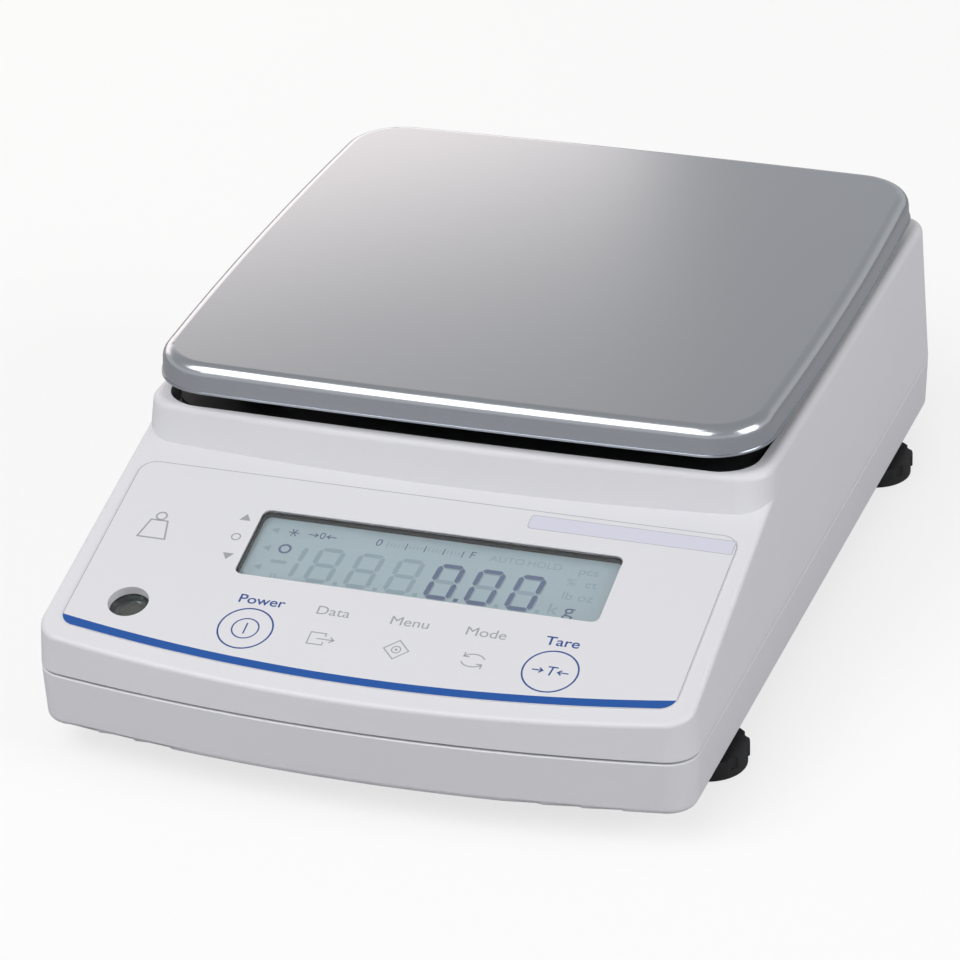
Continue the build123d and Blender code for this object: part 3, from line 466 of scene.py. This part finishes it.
@dataclass
class Pen:
    """Draws flat marks in mm and joins them into one printed piece.

    Attributes:
        thickness: Thickness of the ink.
        marks: The marks drawn so far.
    """

    thickness: float = 0.02
    marks: list[bpy.types.Object] = field(default_factory=list)

    def keep(self, mark: bpy.types.Object) -> None:
        """Turns a drawn curve or word into a mesh and keeps it."""
        only(mark)
        bpy.ops.object.convert(target="MESH")
        self.marks.append(bpy.context.object)

    def area(self, *loops: Sequence[Point]) -> None:
        """Fills the inside of an outline; further outlines cut holes.

        Args:
            loops: Closed outlines.
        """
        data = bpy.data.curves.new("mark", "CURVE")
        data.dimensions = "2D"
        data.fill_mode = "BOTH"
        data.extrude = self.thickness / 2
        for loop in loops:
            spline = data.splines.new("POLY")
            spline.points.add(len(loop) - 1)
            for point, (x, y) in zip(spline.points, loop):
                point.co = (x, y, 0.0, 1.0)
            spline.use_cyclic_u = True
        mark = bpy.data.objects.new("mark", data)
        bpy.context.collection.objects.link(mark)
        self.keep(mark)

    def line(self, path: Sequence[Point], width: float) -> None:
        """Draws an open stroke of one width."""
        self.area(ribbon(path, width))

    def frame(self, corners: Sequence[Point], width: float) -> None:
        """Draws a closed stroke through convex corners.

        Args:
            corners: Corners of its middle line, anticlockwise.
            width: Width of the stroke.
        """
        self.area(*(offset(corners, side * width / 2) for side in (1, -1)))

    def ring(self, centre: Point, radius: float, width: float) -> None:
        """Draws a ring whose middle line has the given radius."""
        self.area(circle(centre, radius + width / 2), circle(centre, radius - width / 2))

    def arrow(self, tip: Point, tail: Point, width: float, head: float) -> None:
        """Draws an arrow with an open head.

        Args:
            tip: Its point.
            tail: End of its shaft.
            width: Width of the strokes.
            head: Length of each side of the head.
        """
        along = (Vector(tip) - Vector(tail)).normalized()
        across = Vector((-along.y, along.x))
        ends = [Vector(tip) - head * 0.75 * along + side * head * 0.65 * across for side in (1, -1)]
        self.line([tail, tip], width)
        self.line([tuple(ends[0]), tip, tuple(ends[1])], width)

    def word(
        self, text: str, centre: Point, height: float, stretch: float = 1.12, lean: float = 0.0,
        weight: float = 0.0
    ) -> None:
        """Writes a generic word or number.

        Args:
            text: What it says.
            centre: Middle of the word.
            height: Size of the letters.
            stretch: How wide they are drawn.
            lean: How far they lean to the right.
            weight: How much their strokes are thickened either way.
        """
        bpy.ops.object.select_all(action="DESELECT")
        bpy.ops.object.text_add(location=(centre[0], centre[1], 0))
        mark = bpy.context.object
        mark.data.body = text
        mark.data.size = height
        mark.data.shear = lean
        mark.data.offset = weight
        mark.data.extrude = self.thickness / 2
        mark.data.align_x = "CENTER"
        mark.data.align_y = "CENTER"
        mark.scale.x = stretch
        self.keep(mark)

    def piece(self, lift: float) -> bpy.types.Object:
        """Joins the marks and lays them in the panel's plane.

        Args:
            lift: Height of the ink over the plane.

        Returns:
            One mesh with all the marks.
        """
        bpy.ops.object.select_all(action="DESELECT")
        for mark in self.marks:
            mark.select_set(True)
        bpy.context.view_layer.objects.active = self.marks[0]
        if len(self.marks) > 1:
            bpy.ops.object.join()
        joined = bpy.context.object
        PANEL.lay(joined, lift)
        return joined


@dataclass(frozen=True)
class Housing:
    """Two moulded halves and the screws that hold them together."""

    def build(self) -> None:
        """Dresses the halves and their screws."""
        dress(
            {
                "upper_housing": MOULDED_ABS,
                "lower_housing": MOULDED_ABS,
                "case_screws": ZINC_STEEL,
                "hook_cover": BLACK_ABS,
            }
        )


@dataclass(frozen=True)
class WeighingPan:
    """Pressed pan on its cushions and black support."""

    def build(self) -> None:
        """Dresses the pan and what carries it."""
        dress(
            {
                "weighing_pan": SATIN_STAINLESS,
                "pan_support": BLACK_ABS,
                "pan_cushions": BLACK_RUBBER,
                "load_post": MILLED_ALLOY,
            }
        )


@dataclass(frozen=True)
class ControlFilm:
    """Printed film over the panel: outline, stripe, strip and legends.

    Attributes:
        half_width: Half its width.
        top: Its upper edge, up the slope.
        crown: Its bowed lower edge, at the middle.
        bow: Radius of the lower edge.
        corner: Radius of its corners.
        face: Height of its face over the panel.
        stripe_crown: Upper edge of the blue stripe, at the middle.
        stripe_bow: Radius of that edge.
        key_row: Middle of the keys, up the slope.
        first_key: Middle of the first key, across.
        key_pitch: Distance between two keys.
        ring_radius: Radius of the rings over the gaps round the keys.
        stroke: Width of those rings.
    """

    half_width: float = 96.2
    top: float = 88.8
    crown: float = 7.2
    bow: float = 534.0
    corner: float = 5.5
    face: float = 0.4
    stripe_crown: float = 10.3
    stripe_bow: float = 521.0
    key_row: float = 23.6
    first_key: float = -38.8
    key_pitch: float = 23.8
    ring_radius: float = 8.36
    stroke: float = 0.54

    def outline(self, inset: float) -> list[Point]:
        """Gives the film's outline, moved inwards.

        Args:
            inset: How far inside the edge.

        Returns:
            Points from the upper left corner, down and round.
        """
        x, radius = self.half_width - inset, self.corner - inset
        low, high = self.lower_edge(x - radius) + inset, self.top - inset
        tilt = math.degrees(math.asin((x - radius) / self.bow))
        points = arc((-x + radius, high - radius), radius, 90, 180, 10)
        points += arc((-x + radius, low + radius), radius, 180, 270 - tilt, 10)
        steps = [(x - radius) * (i / 24 - 1) for i in range(1, 48)]
        points += [(step, self.lower_edge(step) + inset) for step in steps]
        points += arc((x - radius, low + radius), radius, -90 + tilt, 0, 10)
        points += arc((x - radius, high - radius), radius, 0, 90, 10)
        return points

    def lower_edge(self, x: float) -> float:
        """Gives the height of the bowed lower edge at a place across."""
        return self.crown + self.bow - math.sqrt(self.bow**2 - x**2)

    def stripe_edge(self, x: float) -> float:
        """Gives the height of the stripe's upper edge at a place across."""
        return self.stripe_crown + self.stripe_bow - math.sqrt(self.stripe_bow**2 - x**2)

    def key(self, number: int) -> Point:
        """Gives the centre of a key, counted from the left."""
        return self.first_key + number * self.key_pitch, self.key_row

    def build(self) -> None:
        """Prints the film and dresses it."""
        dress({"panel_film": VELVET_FILM})
        lift = self.face + 0.011
        stripe = Pen()
        low = [p for p in self.outline(0.12) if p[1] < self.stripe_edge(p[0])]
        ends = low[-1][0], low[0][0]
        steps = [ends[0] + (ends[1] - ends[0]) * i / 48 for i in range(49)]
        stripe.area(low + [(x, self.stripe_edge(x)) for x in steps])
        mount(stripe.piece(lift), "film_stripe", BLUE_INK, Body.CASE)
        edge = Pen()
        edge.area(self.outline(0.1), self.outline(0.32))
        mount(edge.piece(lift - 0.004), "film_edge_line", GREY_INK, Body.CASE)
        strip = Pen()
        strip.area(self.strip(0.0))
        mount(strip.piece(lift), "blank_strip", PALE_INK, Body.CASE)
        border = Pen()
        border.area(self.strip(-0.16), self.strip(0.0))
        mount(border.piece(lift), "thin_borders", GREY_INK, Body.CASE)
        navy = Pen()
        for number in (0, 4):
            navy.ring(self.key(number), self.ring_radius, self.stroke)
        navy.word("Power", (-37.8, 35.5), 5.0, weight=0.05)
        navy.word("Tare", (56.6, 35.7), 5.0, weight=0.05)
        mount(navy.piece(lift), "navy_legends", NAVY_INK, Body.CASE)
        rims = Pen()
        for number in (1, 2, 3):
            rims.ring(self.key(number), self.ring_radius - 0.08, 0.42)
        mount(rims.piece(lift), "embossed_rims", VELVET_FILM, Body.CASE)
        grey = Pen()
        for text, x in (("Data", -14.9), ("Menu", 9.3), ("Mode", 33.1)):
            grey.word(text, (x, 35.1), 5.0)
        self.range_marks(grey)
        self.weight_mark(grey)
        mount(grey.piece(lift), "grey_legends", GREY_INK, Body.CASE)

    def strip(self, inset: float) -> list[Point]:
        """Gives the outline of the blank strip at the upper right."""
        left, right, low, high = 31.4 + inset, 95.2 - inset, 81.0 + inset, 86.6 - inset
        radius = 1.2 - inset / 2
        tight = 0.4
        points = arc((right - tight, high - tight), tight, 0, 90, 5)
        points += arc((left + radius, high - radius), radius, 90, 180, 8)
        points += arc((left + radius, low + radius), radius, 180, 270, 8)
        return points + arc((right - tight, low + tight), tight, 270, 360, 5)

    def range_marks(self, pen: Pen) -> None:
        """Draws three generic marks beside the display: above, within and below."""
        pen.area([(-56.9, 68.2), (-53.3, 68.2), (-55.1, 71.0)])
        pen.ring((-55.3, 60.8), 1.35, 0.45)
        pen.area([(-56.9, 53.6), (-55.1, 50.8), (-53.3, 53.6)])

    def weight_mark(self, pen: Pen) -> None:
        """Draws a generic sign for weighing: the outline of a hooked weight."""
        pen.frame([(-85.8, 55.6), (-76.8, 55.6), (-78.6, 63.4), (-84.0, 63.4)], 0.55)
        pen.ring((-81.3, 65.3), 1.6, 0.55)


@dataclass(frozen=True)
class KeySymbols:
    """Symbols printed on the five keys, each riding on its key.

    Attributes:
        film: Printed film, which knows where the keys are.
        lift: Height of the ink over the panel.
        stroke: Width of the strokes.
    """

    film: ControlFilm
    lift: float = 0.411
    stroke: float = 0.4

    def build(self) -> None:
        """Dresses the keys and prints a symbol on each."""
        keys = (Body.POWER, Body.PRINT, Body.SET, Body.FUNCTION, Body.TARE)
        dress({body.value: VELVET_FILM for body in keys})
        self.power()
        self.output()
        self.settings()
        self.cycle()
        self.tare()

    def power(self) -> None:
        """Draws the standby sign: a bar in a ring."""
        x, y = self.film.key(0)
        pen = Pen()
        pen.ring((x, y), 4.1, 0.45)
        pen.line([(x, y - 2.3), (x, y + 2.3)], 0.45)
        mount(pen.piece(self.lift), "power_symbol", NAVY_INK, Body.POWER)

    def output(self) -> None:
        """Draws an arrow that leaves a box."""
        x, y = self.film.key(1)
        pen = Pen()
        box = [(x + 1.2, y - 1.1), (x + 1.2, y - 2.4), (x - 3.6, y - 2.4)]
        box += [(x - 3.6, y + 2.4), (x + 1.2, y + 2.4), (x + 1.2, y + 1.1)]
        pen.line(box, self.stroke)
        pen.arrow((x + 4.2, y), (x - 1.2, y), self.stroke, 1.7)
        mount(pen.piece(self.lift), "output_symbol", GREY_INK, Body.PRINT)

    def settings(self) -> None:
        """Draws a diamond round a ring with a dot."""
        x, y = self.film.key(2)
        pen = Pen()
        pen.frame([(x - 3.9, y), (x, y - 3.9), (x + 3.9, y), (x, y + 3.9)], self.stroke)
        pen.ring((x, y), 1.35, 0.35)
        pen.area(circle((x, y), 0.45, 24))
        mount(pen.piece(self.lift), "settings_symbol", GREY_INK, Body.SET)

    def cycle(self) -> None:
        """Draws two arrows that chase each other."""
        x, y = self.film.key(3)
        squash, barb = 0.72, 1.7
        pen = Pen()
        for turn in (0, 180):
            sweep = arc((x, y), 3.6, turn + 20, turn + 150, 20)
            flat = [(px, y + (py - y) * squash) for px, py in sweep]
            pen.line(flat, self.stroke)
            tip_x, tip_y = flat[-1]
            way = 1 if turn else -1
            wings = (tip_x - way * 0.1, tip_y - way * barb), (tip_x - way * barb, tip_y)
            pen.line([wings[0], (tip_x, tip_y), wings[1]], self.stroke)
        mount(pen.piece(self.lift), "cycle_symbol", GREY_INK, Body.FUNCTION)

    def tare(self) -> None:
        """Draws the sign for setting the display to nought."""
        x, y = self.film.key(4)
        pen = Pen()
        pen.arrow((x - 2.3, y), (x - 5.6, y), 0.45, 1.5)
        pen.arrow((x + 2.3, y), (x + 5.6, y), 0.45, 1.5)
        pen.word("T", (x, y), 5.4, 1.0, 0.15)
        mount(pen.piece(self.lift), "tare_symbol", NAVY_INK, Body.TARE)


@dataclass(frozen=True)
class Display:
    """Liquid crystal display: glass, segments and signs under a clear pane.

    Attributes:
        glass: Face of the glass over the panel.
        row: Middle of the digits, up the slope.
        first: Middle of the last digit but five, across.
        pitch: Distance between digits.
        width: Width of a digit.
        height: Height of a digit.
        bar: Width of a segment.
        gap: Gap between segments.
        lean: How far the digits lean.
        shade_strip_top: Top of the black strip of painted shade on the window's wall, under the panel.
        shade_strip_bottom: Its bottom, under the panel.
    """

    glass: float = -3.0
    row: float = 56.5
    first: float = -25.6
    pitch: float = 12.75
    width: float = 8.6
    height: float = 15.2
    bar: float = 1.6
    gap: float = 0.2
    lean: float = 0.09
    shade_strip_top: float = 1.02
    shade_strip_bottom: float = 2.98

    def segments(self) -> dict[str, list[Point]]:
        """Gives the outline of each of the seven segments round the origin."""
        half, high, b = self.width / 2 - self.bar / 2, self.height / 2 - self.bar / 2, self.bar / 2
        found = {}
        for name, y in (("top", high), ("middle", 0.0), ("bottom", -high)):
            x = half - self.gap
            found[name] = [(-x, y), (-x + b, y + b), (x - b, y + b), (x, y), (x - b, y - b), (-x + b, y - b)]
        for name, x, low in (
            ("upper_left", -half, 0), ("upper_right", half, 0), ("lower_left", -half, -high),
            ("lower_right", half, -high)
        ):
            start, end = low + self.gap, low + high - self.gap
            found[name] = [
                (x, start), (x + b, start + b), (x + b, end - b), (x, end), (x - b, end - b),
                (x - b, start + b)
            ]
        return found

    def digit(self, pen: Pen, number: int, names: Sequence[str], shift: Point = (0.0, 0.0)) -> None:
        """Draws some segments of one digit.

        Args:
            pen: Pen that draws.
            number: Which digit, counted from the left.
            names: Segments to draw.
            shift: How far the drawing is moved, as for the painted shadow.
        """
        middle = self.first + number * self.pitch + shift[0]
        shapes = self.segments()
        for name in names:
            pen.area([(middle + x + self.lean * y, self.row + shift[1] + y) for x, y in shapes[name]])

    def build(self) -> None:
        """Dresses the display and draws what it shows."""
        dress(
            {
                "display_pane": CLEAR_ACRYLIC,
                "display_frame": BLACK_ABS,
                "display_glass": DISPLAY_GLASS,
                "light_guide": MILK_ACRYLIC,
            }
        )
        self.paint_window_shade()
        every = tuple(self.segments())
        nought = tuple(name for name in every if name != "middle")
        faint, shown, shadow = Pen(), Pen(), Pen()
        for number in range(3):
            self.digit(faint, number, every)
        self.digit(faint, -1, ("upper_right", "lower_right"), (0.9, 0.0))
        for number in range(3, 6):
            self.digit(faint, number, ("middle",))
            # painted shadow of the lit segments: a darker copy, offset right and down
            self.digit(shadow, number, nought, (0.45, -0.55))
            self.digit(shown, number, nought)
        for number in range(6):
            pen = shown if number == 3 else faint
            x, y = self.first + (number + 0.5) * self.pitch - 0.7, self.row - self.height / 2 + 0.7
            pen.area([(x - 0.7, y - 0.7), (x + 0.7, y - 0.7), (x + 0.8, y + 0.7), (x - 0.6, y + 0.7)])
        self.signs(faint, shown)
        mount(faint.piece(self.glass + 0.011), "segments_off", SEGMENT_OFF, Body.CASE)
        mount(shadow.piece(self.glass + 0.034), "segment_shadows", SEGMENT_SHADOW, Body.CASE)
        mount(shown.piece(self.glass + 0.057), "segments_on", SEGMENT_ON, Body.CASE)

    def paint_window_shade(self) -> None:
        """Darkens the window's wall under the pane with a black strip: painted shade for the window's
        recess.
        """
        # painted shade: a black strip on the window's inner wall, where the recess lies in shade
        pen = Pen(thickness=self.shade_strip_bottom - self.shade_strip_top)
        pen.area(self.window(-0.03), self.window(-0.28))
        mount(
            pen.piece(-(self.shade_strip_top + self.shade_strip_bottom) / 2), "window_wall_painted_shade", BLACK_RUBBER, Body.CASE,
        )

    def window(self, grow: float) -> list[Point]:
        """Gives the outline of the window, moved outwards.

        Args:
            grow: How far outside its edge.

        Returns:
            Points round it, anticlockwise from the right.
        """
        middle, half, radius = (6.75, 59.9), (57.45 + grow, 14.25 + grow), 2.6 + grow
        points = []
        for turn, (across, up) in enumerate(((1, 1), (-1, 1), (-1, -1), (1, -1))):
            corner = middle[0] + across * (half[0] - radius), middle[1] + up * (half[1] - radius)
            points += arc(corner, radius, turn * 90, turn * 90 + 90, 8)
        return points

    def signs(self, faint: Pen, shown: Pen) -> None:
        """Draws the small signs round the digits.

        Args:
            faint: Pen for signs that are off.
            shown: Pen for signs that are on.
        """
        for turn in (0, 60, 120):
            dx, dy = 1.7 * math.cos(math.radians(turn)), 1.7 * math.sin(math.radians(turn))
            shown.line([(-39.6 - dx, 68.6 - dy), (-39.6 + dx, 68.6 + dy)], 0.4)
        shown.arrow((-31.9, 68.7), (-34.9, 68.7), 0.4, 1.3)
        shown.arrow((-28.9, 68.7), (-25.9, 68.7), 0.4, 1.3)
        shown.word("0", (-30.4, 68.7), 4.0, 1.0)
        shown.ring((-40.0, 61.3), 1.7, 0.7)
        faint.line([(-42.6, 55.6), (-37.6, 55.6)], 1.3)
        shown.word("0", (-12.4, 69.1), 4.2, 1.0, 0.1)
        shown.word("F", (17.4, 69.1), 4.0, 1.0, 0.1)
        for step in range(21):
            x = -9.6 + step * 1.2
            tall = 1.35 if step % 5 == 0 else 0.75
            pen = shown if step % 5 == 0 and step else faint
            pen.line([(x, 69.0 - tall), (x + 0.15, 69.0 + tall)], 0.36)
        for y in (68.7, 60.8, 52.5):
            faint.area([(-47.2, y), (-44.6, y + 1.3), (-44.6, y - 1.3)])
        for text, x, y, size in (
            ("AUTO", 28.6, 68.9, 3.6),
            ("HOLD", 40.4, 68.9, 3.6),
            ("pcs", 54.4, 68.6, 4.4),
            ("%  ct", 53.6, 63.4, 4.4),
            ("lb oz", 54.0, 57.6, 4.6),
            ("k", 48.2, 51.4, 6.4),
            ("n", -39.8, 49.6, 4.4),
        ):
            faint.word(text, (x, y), size, 1.1)
        shown.word("g", (53.4, 51.6), 7.0, 1.15)


@dataclass(frozen=True)
class SpiritLevel:
    """Round spirit level in its cup beside the keys.

    Attributes:
        centre: Its middle, in the plane of the panel.
        inner: Radius of the hollow in the vial.
        ceiling: Top of the hollow, under the panel.
        floor: Bottom of the hollow, under the panel.
        bubble: Radius of the bubble.
        target: Radius of the ring that the bubble is set in.
    """

    centre: Point = (-78.0, 27.8)
    inner: float = 6.5
    ceiling: float = -3.4
    floor: float = -8.0
    bubble: float = 2.3
    target: float = 3.2

    def build(self) -> None:
        """Fills the vial, adds its bubble and prints its ring."""
        dress({"level_vial": VIAL_ACRYLIC, "level_cup": BLACK_ABS})
        self.spirit()
        self.air()
        ring = Pen()
        ring.ring(self.centre, self.target, 0.3)
        mount(ring.piece(self.ceiling - 0.03), "level_target", BLACK_RUBBER, Body.CASE)

    def spirit(self) -> None:
        """Builds the spirit: a turned slug with softened edges."""
        x, y = self.centre
        bpy.ops.object.select_all(action="DESELECT")
        depth = self.ceiling - self.floor - 0.2
        bpy.ops.mesh.primitive_cylinder_add(
            vertices=64, radius=self.inner - 0.05, depth=depth,
            location=(x, y, (self.ceiling + self.floor) / 2 - 0.06)
        )
        slug = bpy.context.object
        bpy.ops.object.mode_set(mode="EDIT")
        bpy.ops.mesh.select_all(action="SELECT")
        bpy.ops.mesh.bevel(offset=0.25, segments=3, affect="EDGES")
        bpy.ops.object.mode_set(mode="OBJECT")
        bpy.ops.object.shade_smooth_by_angle(angle=math.radians(35))
        PANEL.lay(slug, 0.0)
        mount(slug, "level_spirit", LEVEL_SPIRIT, Body.CASE)

    def air(self) -> None:
        """Builds the bubble: a lens pressed flat against the top."""
        x, y = self.centre
        bpy.ops.object.select_all(action="DESELECT")
        bpy.ops.mesh.primitive_uv_sphere_add(
            segments=40, ring_count=20, radius=self.bubble, location=(x + 0.5, y - 0.2, self.ceiling - 0.75)
        )
        lens = bpy.context.object
        bpy.ops.object.mode_set(mode="EDIT")
        bpy.ops.mesh.select_all(action="SELECT")
        bpy.ops.transform.resize(value=(1.0, 1.0, 0.24))
        bpy.ops.object.mode_set(mode="OBJECT")
        bpy.ops.object.shade_smooth()
        PANEL.lay(lens, 0.0)
        mount(lens, "level_bubble", AIR_BUBBLE, Body.CASE)


@dataclass(frozen=True)
class Feet:
    """Four levelling feet: rubber pads, fluted knobs and their bushes."""

    corners: tuple[str, ...] = ("front_left", "front_right", "rear_left", "rear_right")

    def build(self) -> None:
        """Dresses the feet."""
        dress({f"foot_pad_{corner}": BLACK_RUBBER for corner in self.corners})
        dress({f"foot_knob_{corner}": BLACK_NYLON for corner in self.corners})
        dress({"foot_bushes": TURNED_BRASS})


@dataclass(frozen=True)
class RearPorts:
    """Serial connector and power jack at the back."""

    def build(self) -> None:
        """Dresses the connectors."""
        dress(
            {
                "serial_shell": NICKEL_PLATE,
                "serial_insert": BLACK_INSERT,
                "jackscrews": NICKEL_PLATE,
                "power_jack": BLACK_INSERT,
                "power_pin": NICKEL_PLATE,
            }
        )


@dataclass(frozen=True)
class Mechanism:
    """Weighing mechanism, base plate and boards inside the housing."""

    def build(self) -> None:
        """Dresses what is inside."""
        dress(
            {
                "chassis": CAST_ALLOY,
                "weigh_frame": MILLED_ALLOY,
                "weigh_block": MILLED_ALLOY,
                "load_bracket": MILLED_ALLOY,
                "tuning_fork": GROUND_ALLOY,
                "main_board": GREEN_BOARD,
                "display_board": GREEN_BOARD,
                "key_switches": BLACK_INSERT,
                "board_screws": ZINC_STEEL,
                "ribbon_cable": GREY_RIBBON,
            }
        )


@dataclass(frozen=True)
class Lamp:
    """A square studio lamp.

    Attributes:
        name: Its name.
        place: Where it stands, in metres.
        size: Width and height, in metres.
        power: Its power, in watts.
        colour: Its colour.
        aim: Point that it faces.
    """

    name: str
    place: tuple[float, float, float]
    size: tuple[float, float]
    power: float
    colour: str = "#ffffff"
    aim: tuple[float, float, float] = (0.0, 0.0, 0.05)

    def build(self) -> None:
        """Adds the lamp, turned to its aim."""
        data = bpy.data.lights.new(self.name, "AREA")
        data.shape = "RECTANGLE"
        data.size, data.size_y = self.size
        data.energy = self.power
        data.color = linear(self.colour)[:3]
        lamp = bpy.data.objects.new(self.name, data)
        lamp.location = self.place
        lamp.rotation_euler = (Vector(self.aim) - Vector(self.place)).to_track_quat("-Z", "Y").to_euler()
        lamp.visible_camera = False
        bpy.context.scene.collection.objects.link(lamp)


@dataclass(frozen=True)
class Studio:
    """Pale floor, soft lamps, pale surroundings and the camera.

    Attributes:
        eye: Place of the camera, in mm.
        target: Point that it looks at, in mm.
        roll: How far it is turned about its own axis, in degrees.
        lens: Focal length, in mm.
        shift: Shift of the lens, as a share of the frame.
    """

    eye: tuple[float, float, float] = (436.2, -1238.5, 709.7)
    target: tuple[float, float, float] = (0.0, -27.9, 50.5)
    roll: float = -1.97
    lens: float = 173.9
    shift: tuple[float, float] = (0.00116, -0.0032)
    lamps: tuple[Lamp, ...] = (
        Lamp("overhead_softbox", (-0.9, -0.9, 1.9), (1.2, 1.2), 16.0),
        Lamp("front_softbox", (-0.3, -2.0, 1.9), (1.6, 1.0), 19.0),
        Lamp("right_softbox", (2.2, -0.2, 1.1), (1.2, 1.2), 21.0),
        Lamp("back_card", (-0.62, 0.72, 0.3), (0.9, 0.36), 1.25, "#fff0e8"),
    )

    def build(self) -> None:
        """Sets up the studio."""
        self.camera()
        self.floor()
        self.surroundings()
        for lamp in self.lamps:
            lamp.build()
        bpy.context.scene.view_settings.view_transform = "Standard"

    def camera(self) -> None:
        """Adds the camera at the photograph's viewing angle."""
        data = bpy.data.cameras.new("camera")
        data.lens = self.lens
        data.sensor_width = 36.0
        data.shift_x, data.shift_y = self.shift
        camera = bpy.data.objects.new("camera", data)
        forward = (Vector(self.target) - Vector(self.eye)).normalized()
        right = forward.cross(Vector((0, 0, 1))).normalized()
        up = right.cross(forward)
        turn = math.radians(self.roll)
        across = math.cos(turn) * right + math.sin(turn) * up
        upward = math.cos(turn) * up - math.sin(turn) * right
        axes = Matrix((across, upward, -forward)).transposed().to_4x4()
        camera.matrix_world = Matrix.Translation(Vector(self.eye) * MM) @ axes
        bpy.context.scene.collection.objects.link(camera)
        bpy.context.scene.camera = camera

    def floor(self) -> None:
        """Adds a pale floor that keeps the shadow and looks white beyond it."""
        bpy.ops.object.select_all(action="DESELECT")
        bpy.ops.mesh.primitive_plane_add(size=12.0, location=(0, 0, -0.0002))
        floor = bpy.context.object
        floor.name = "studio_floor"
        paper = bpy.data.materials.new("white_paper_roll")
        paper.use_nodes = True
        tree = paper.node_tree
        tree.nodes.clear()
        where = add_node(tree, "ShaderNodeTexCoord").outputs["Object"]
        tooth = add_node(tree, "ShaderNodeTexNoise", {"Scale": 300.0}, {"Vector": where})
        tone = add_node(
            tree,
            "ShaderNodeMix",
            {"data_type": "RGBA", 6: linear("#f3f3f3"), 7: linear("#f0f0f0")},
            {0: tooth.outputs["Fac"]},
        )
        ray = add_node(tree, "ShaderNodeLightPath")
        shown = add_node(
            tree,
            "ShaderNodeMix",
            {"data_type": "RGBA", 6: linear("#a9a9ab")},
            {0: ray.outputs["Is Camera Ray"], 7: tone.outputs[2]},
        )
        matt = add_node(tree, "ShaderNodeBsdfDiffuse", links={"Color": shown.outputs[2]})
        glow = add_node(tree, "ShaderNodeEmission", {"Color": (1, 1, 1, 1)})
        seen = add_node(
            tree, "ShaderNodeMath", {"operation": "MULTIPLY", 1: 0.72}, {0: ray.outputs["Is Camera Ray"]}
        )
        mixed = add_node(
            tree, "ShaderNodeMixShader", links={0: seen.outputs[0], 1: matt.outputs[0], 2: glow.outputs[0]}
        )
        add_node(tree, "ShaderNodeOutputMaterial", links={"Surface": mixed.outputs[0]})
        floor.data.materials.append(paper)

    def surroundings(self) -> None:
        """Makes the world a soft grey light that looks white in view and through clear parts, and grey in
        metal.
        """
        world = bpy.data.worlds.new("studio")
        bpy.context.scene.world = world
        world.use_nodes = True
        tree = world.node_tree
        tree.nodes.clear()
        ray = add_node(tree, "ShaderNodeLightPath")
        where = add_node(tree, "ShaderNodeTexCoord").outputs["Generated"]
        split = add_node(tree, "ShaderNodeSeparateXYZ", links={"Vector": where})
        height = add_node(
            tree,
            "ShaderNodeMapRange",
            {"From Min": 0.3, "From Max": 0.6, "To Min": 0.62, "To Max": 0.25},
            {"Value": split.outputs["Z"]},
        )
        metal = add_node(
            tree, "ShaderNodeMath", {"operation": "MULTIPLY"},
            {0: ray.outputs["Is Glossy Ray"], 1: height.outputs["Result"]}
        )
        direct = add_node(
            tree, "ShaderNodeMath", {"operation": "LESS_THAN", 1: 0.5}, {0: ray.outputs["Diffuse Depth"]}
        )
        through = add_node(
            tree, "ShaderNodeMath", {"operation": "MULTIPLY"},
            {0: ray.outputs["Is Transmission Ray"], 1: direct.outputs[0]}
        )
        seen = add_node(
            tree, "ShaderNodeMath", {"operation": "MAXIMUM"},
            {0: ray.outputs["Is Camera Ray"], 1: through.outputs[0]}
        )
        level = add_node(
            tree, "ShaderNodeMath", {"operation": "MAXIMUM"}, {0: seen.outputs[0], 1: metal.outputs[0]}
        )
        strength = add_node(tree, "ShaderNodeMath", {"operation": "MAXIMUM", 1: 0.42}, {0: level.outputs[0]})
        sky = add_node(
            tree, "ShaderNodeBackground", {"Color": (1, 1, 1, 1)}, {"Strength": strength.outputs[0]}
        )
        add_node(tree, "ShaderNodeOutputWorld", links={"Surface": sky.outputs[0]})


def main() -> None:
    """Builds the studio and the balance."""
    logging.basicConfig(level=logging.INFO, format="%(name)s: %(message)s")
    film = ControlFilm()
    for part in (
        Studio(),
        Housing(),
        WeighingPan(),
        film,
        KeySymbols(film),
        Display(),
        SpiritLevel(),
        Feet(),
        RearPorts(),
        Mechanism(),
    ):
        log.info("building %s", type(part).__name__)
        part.build()


if __name__ == "__main__":
    main()
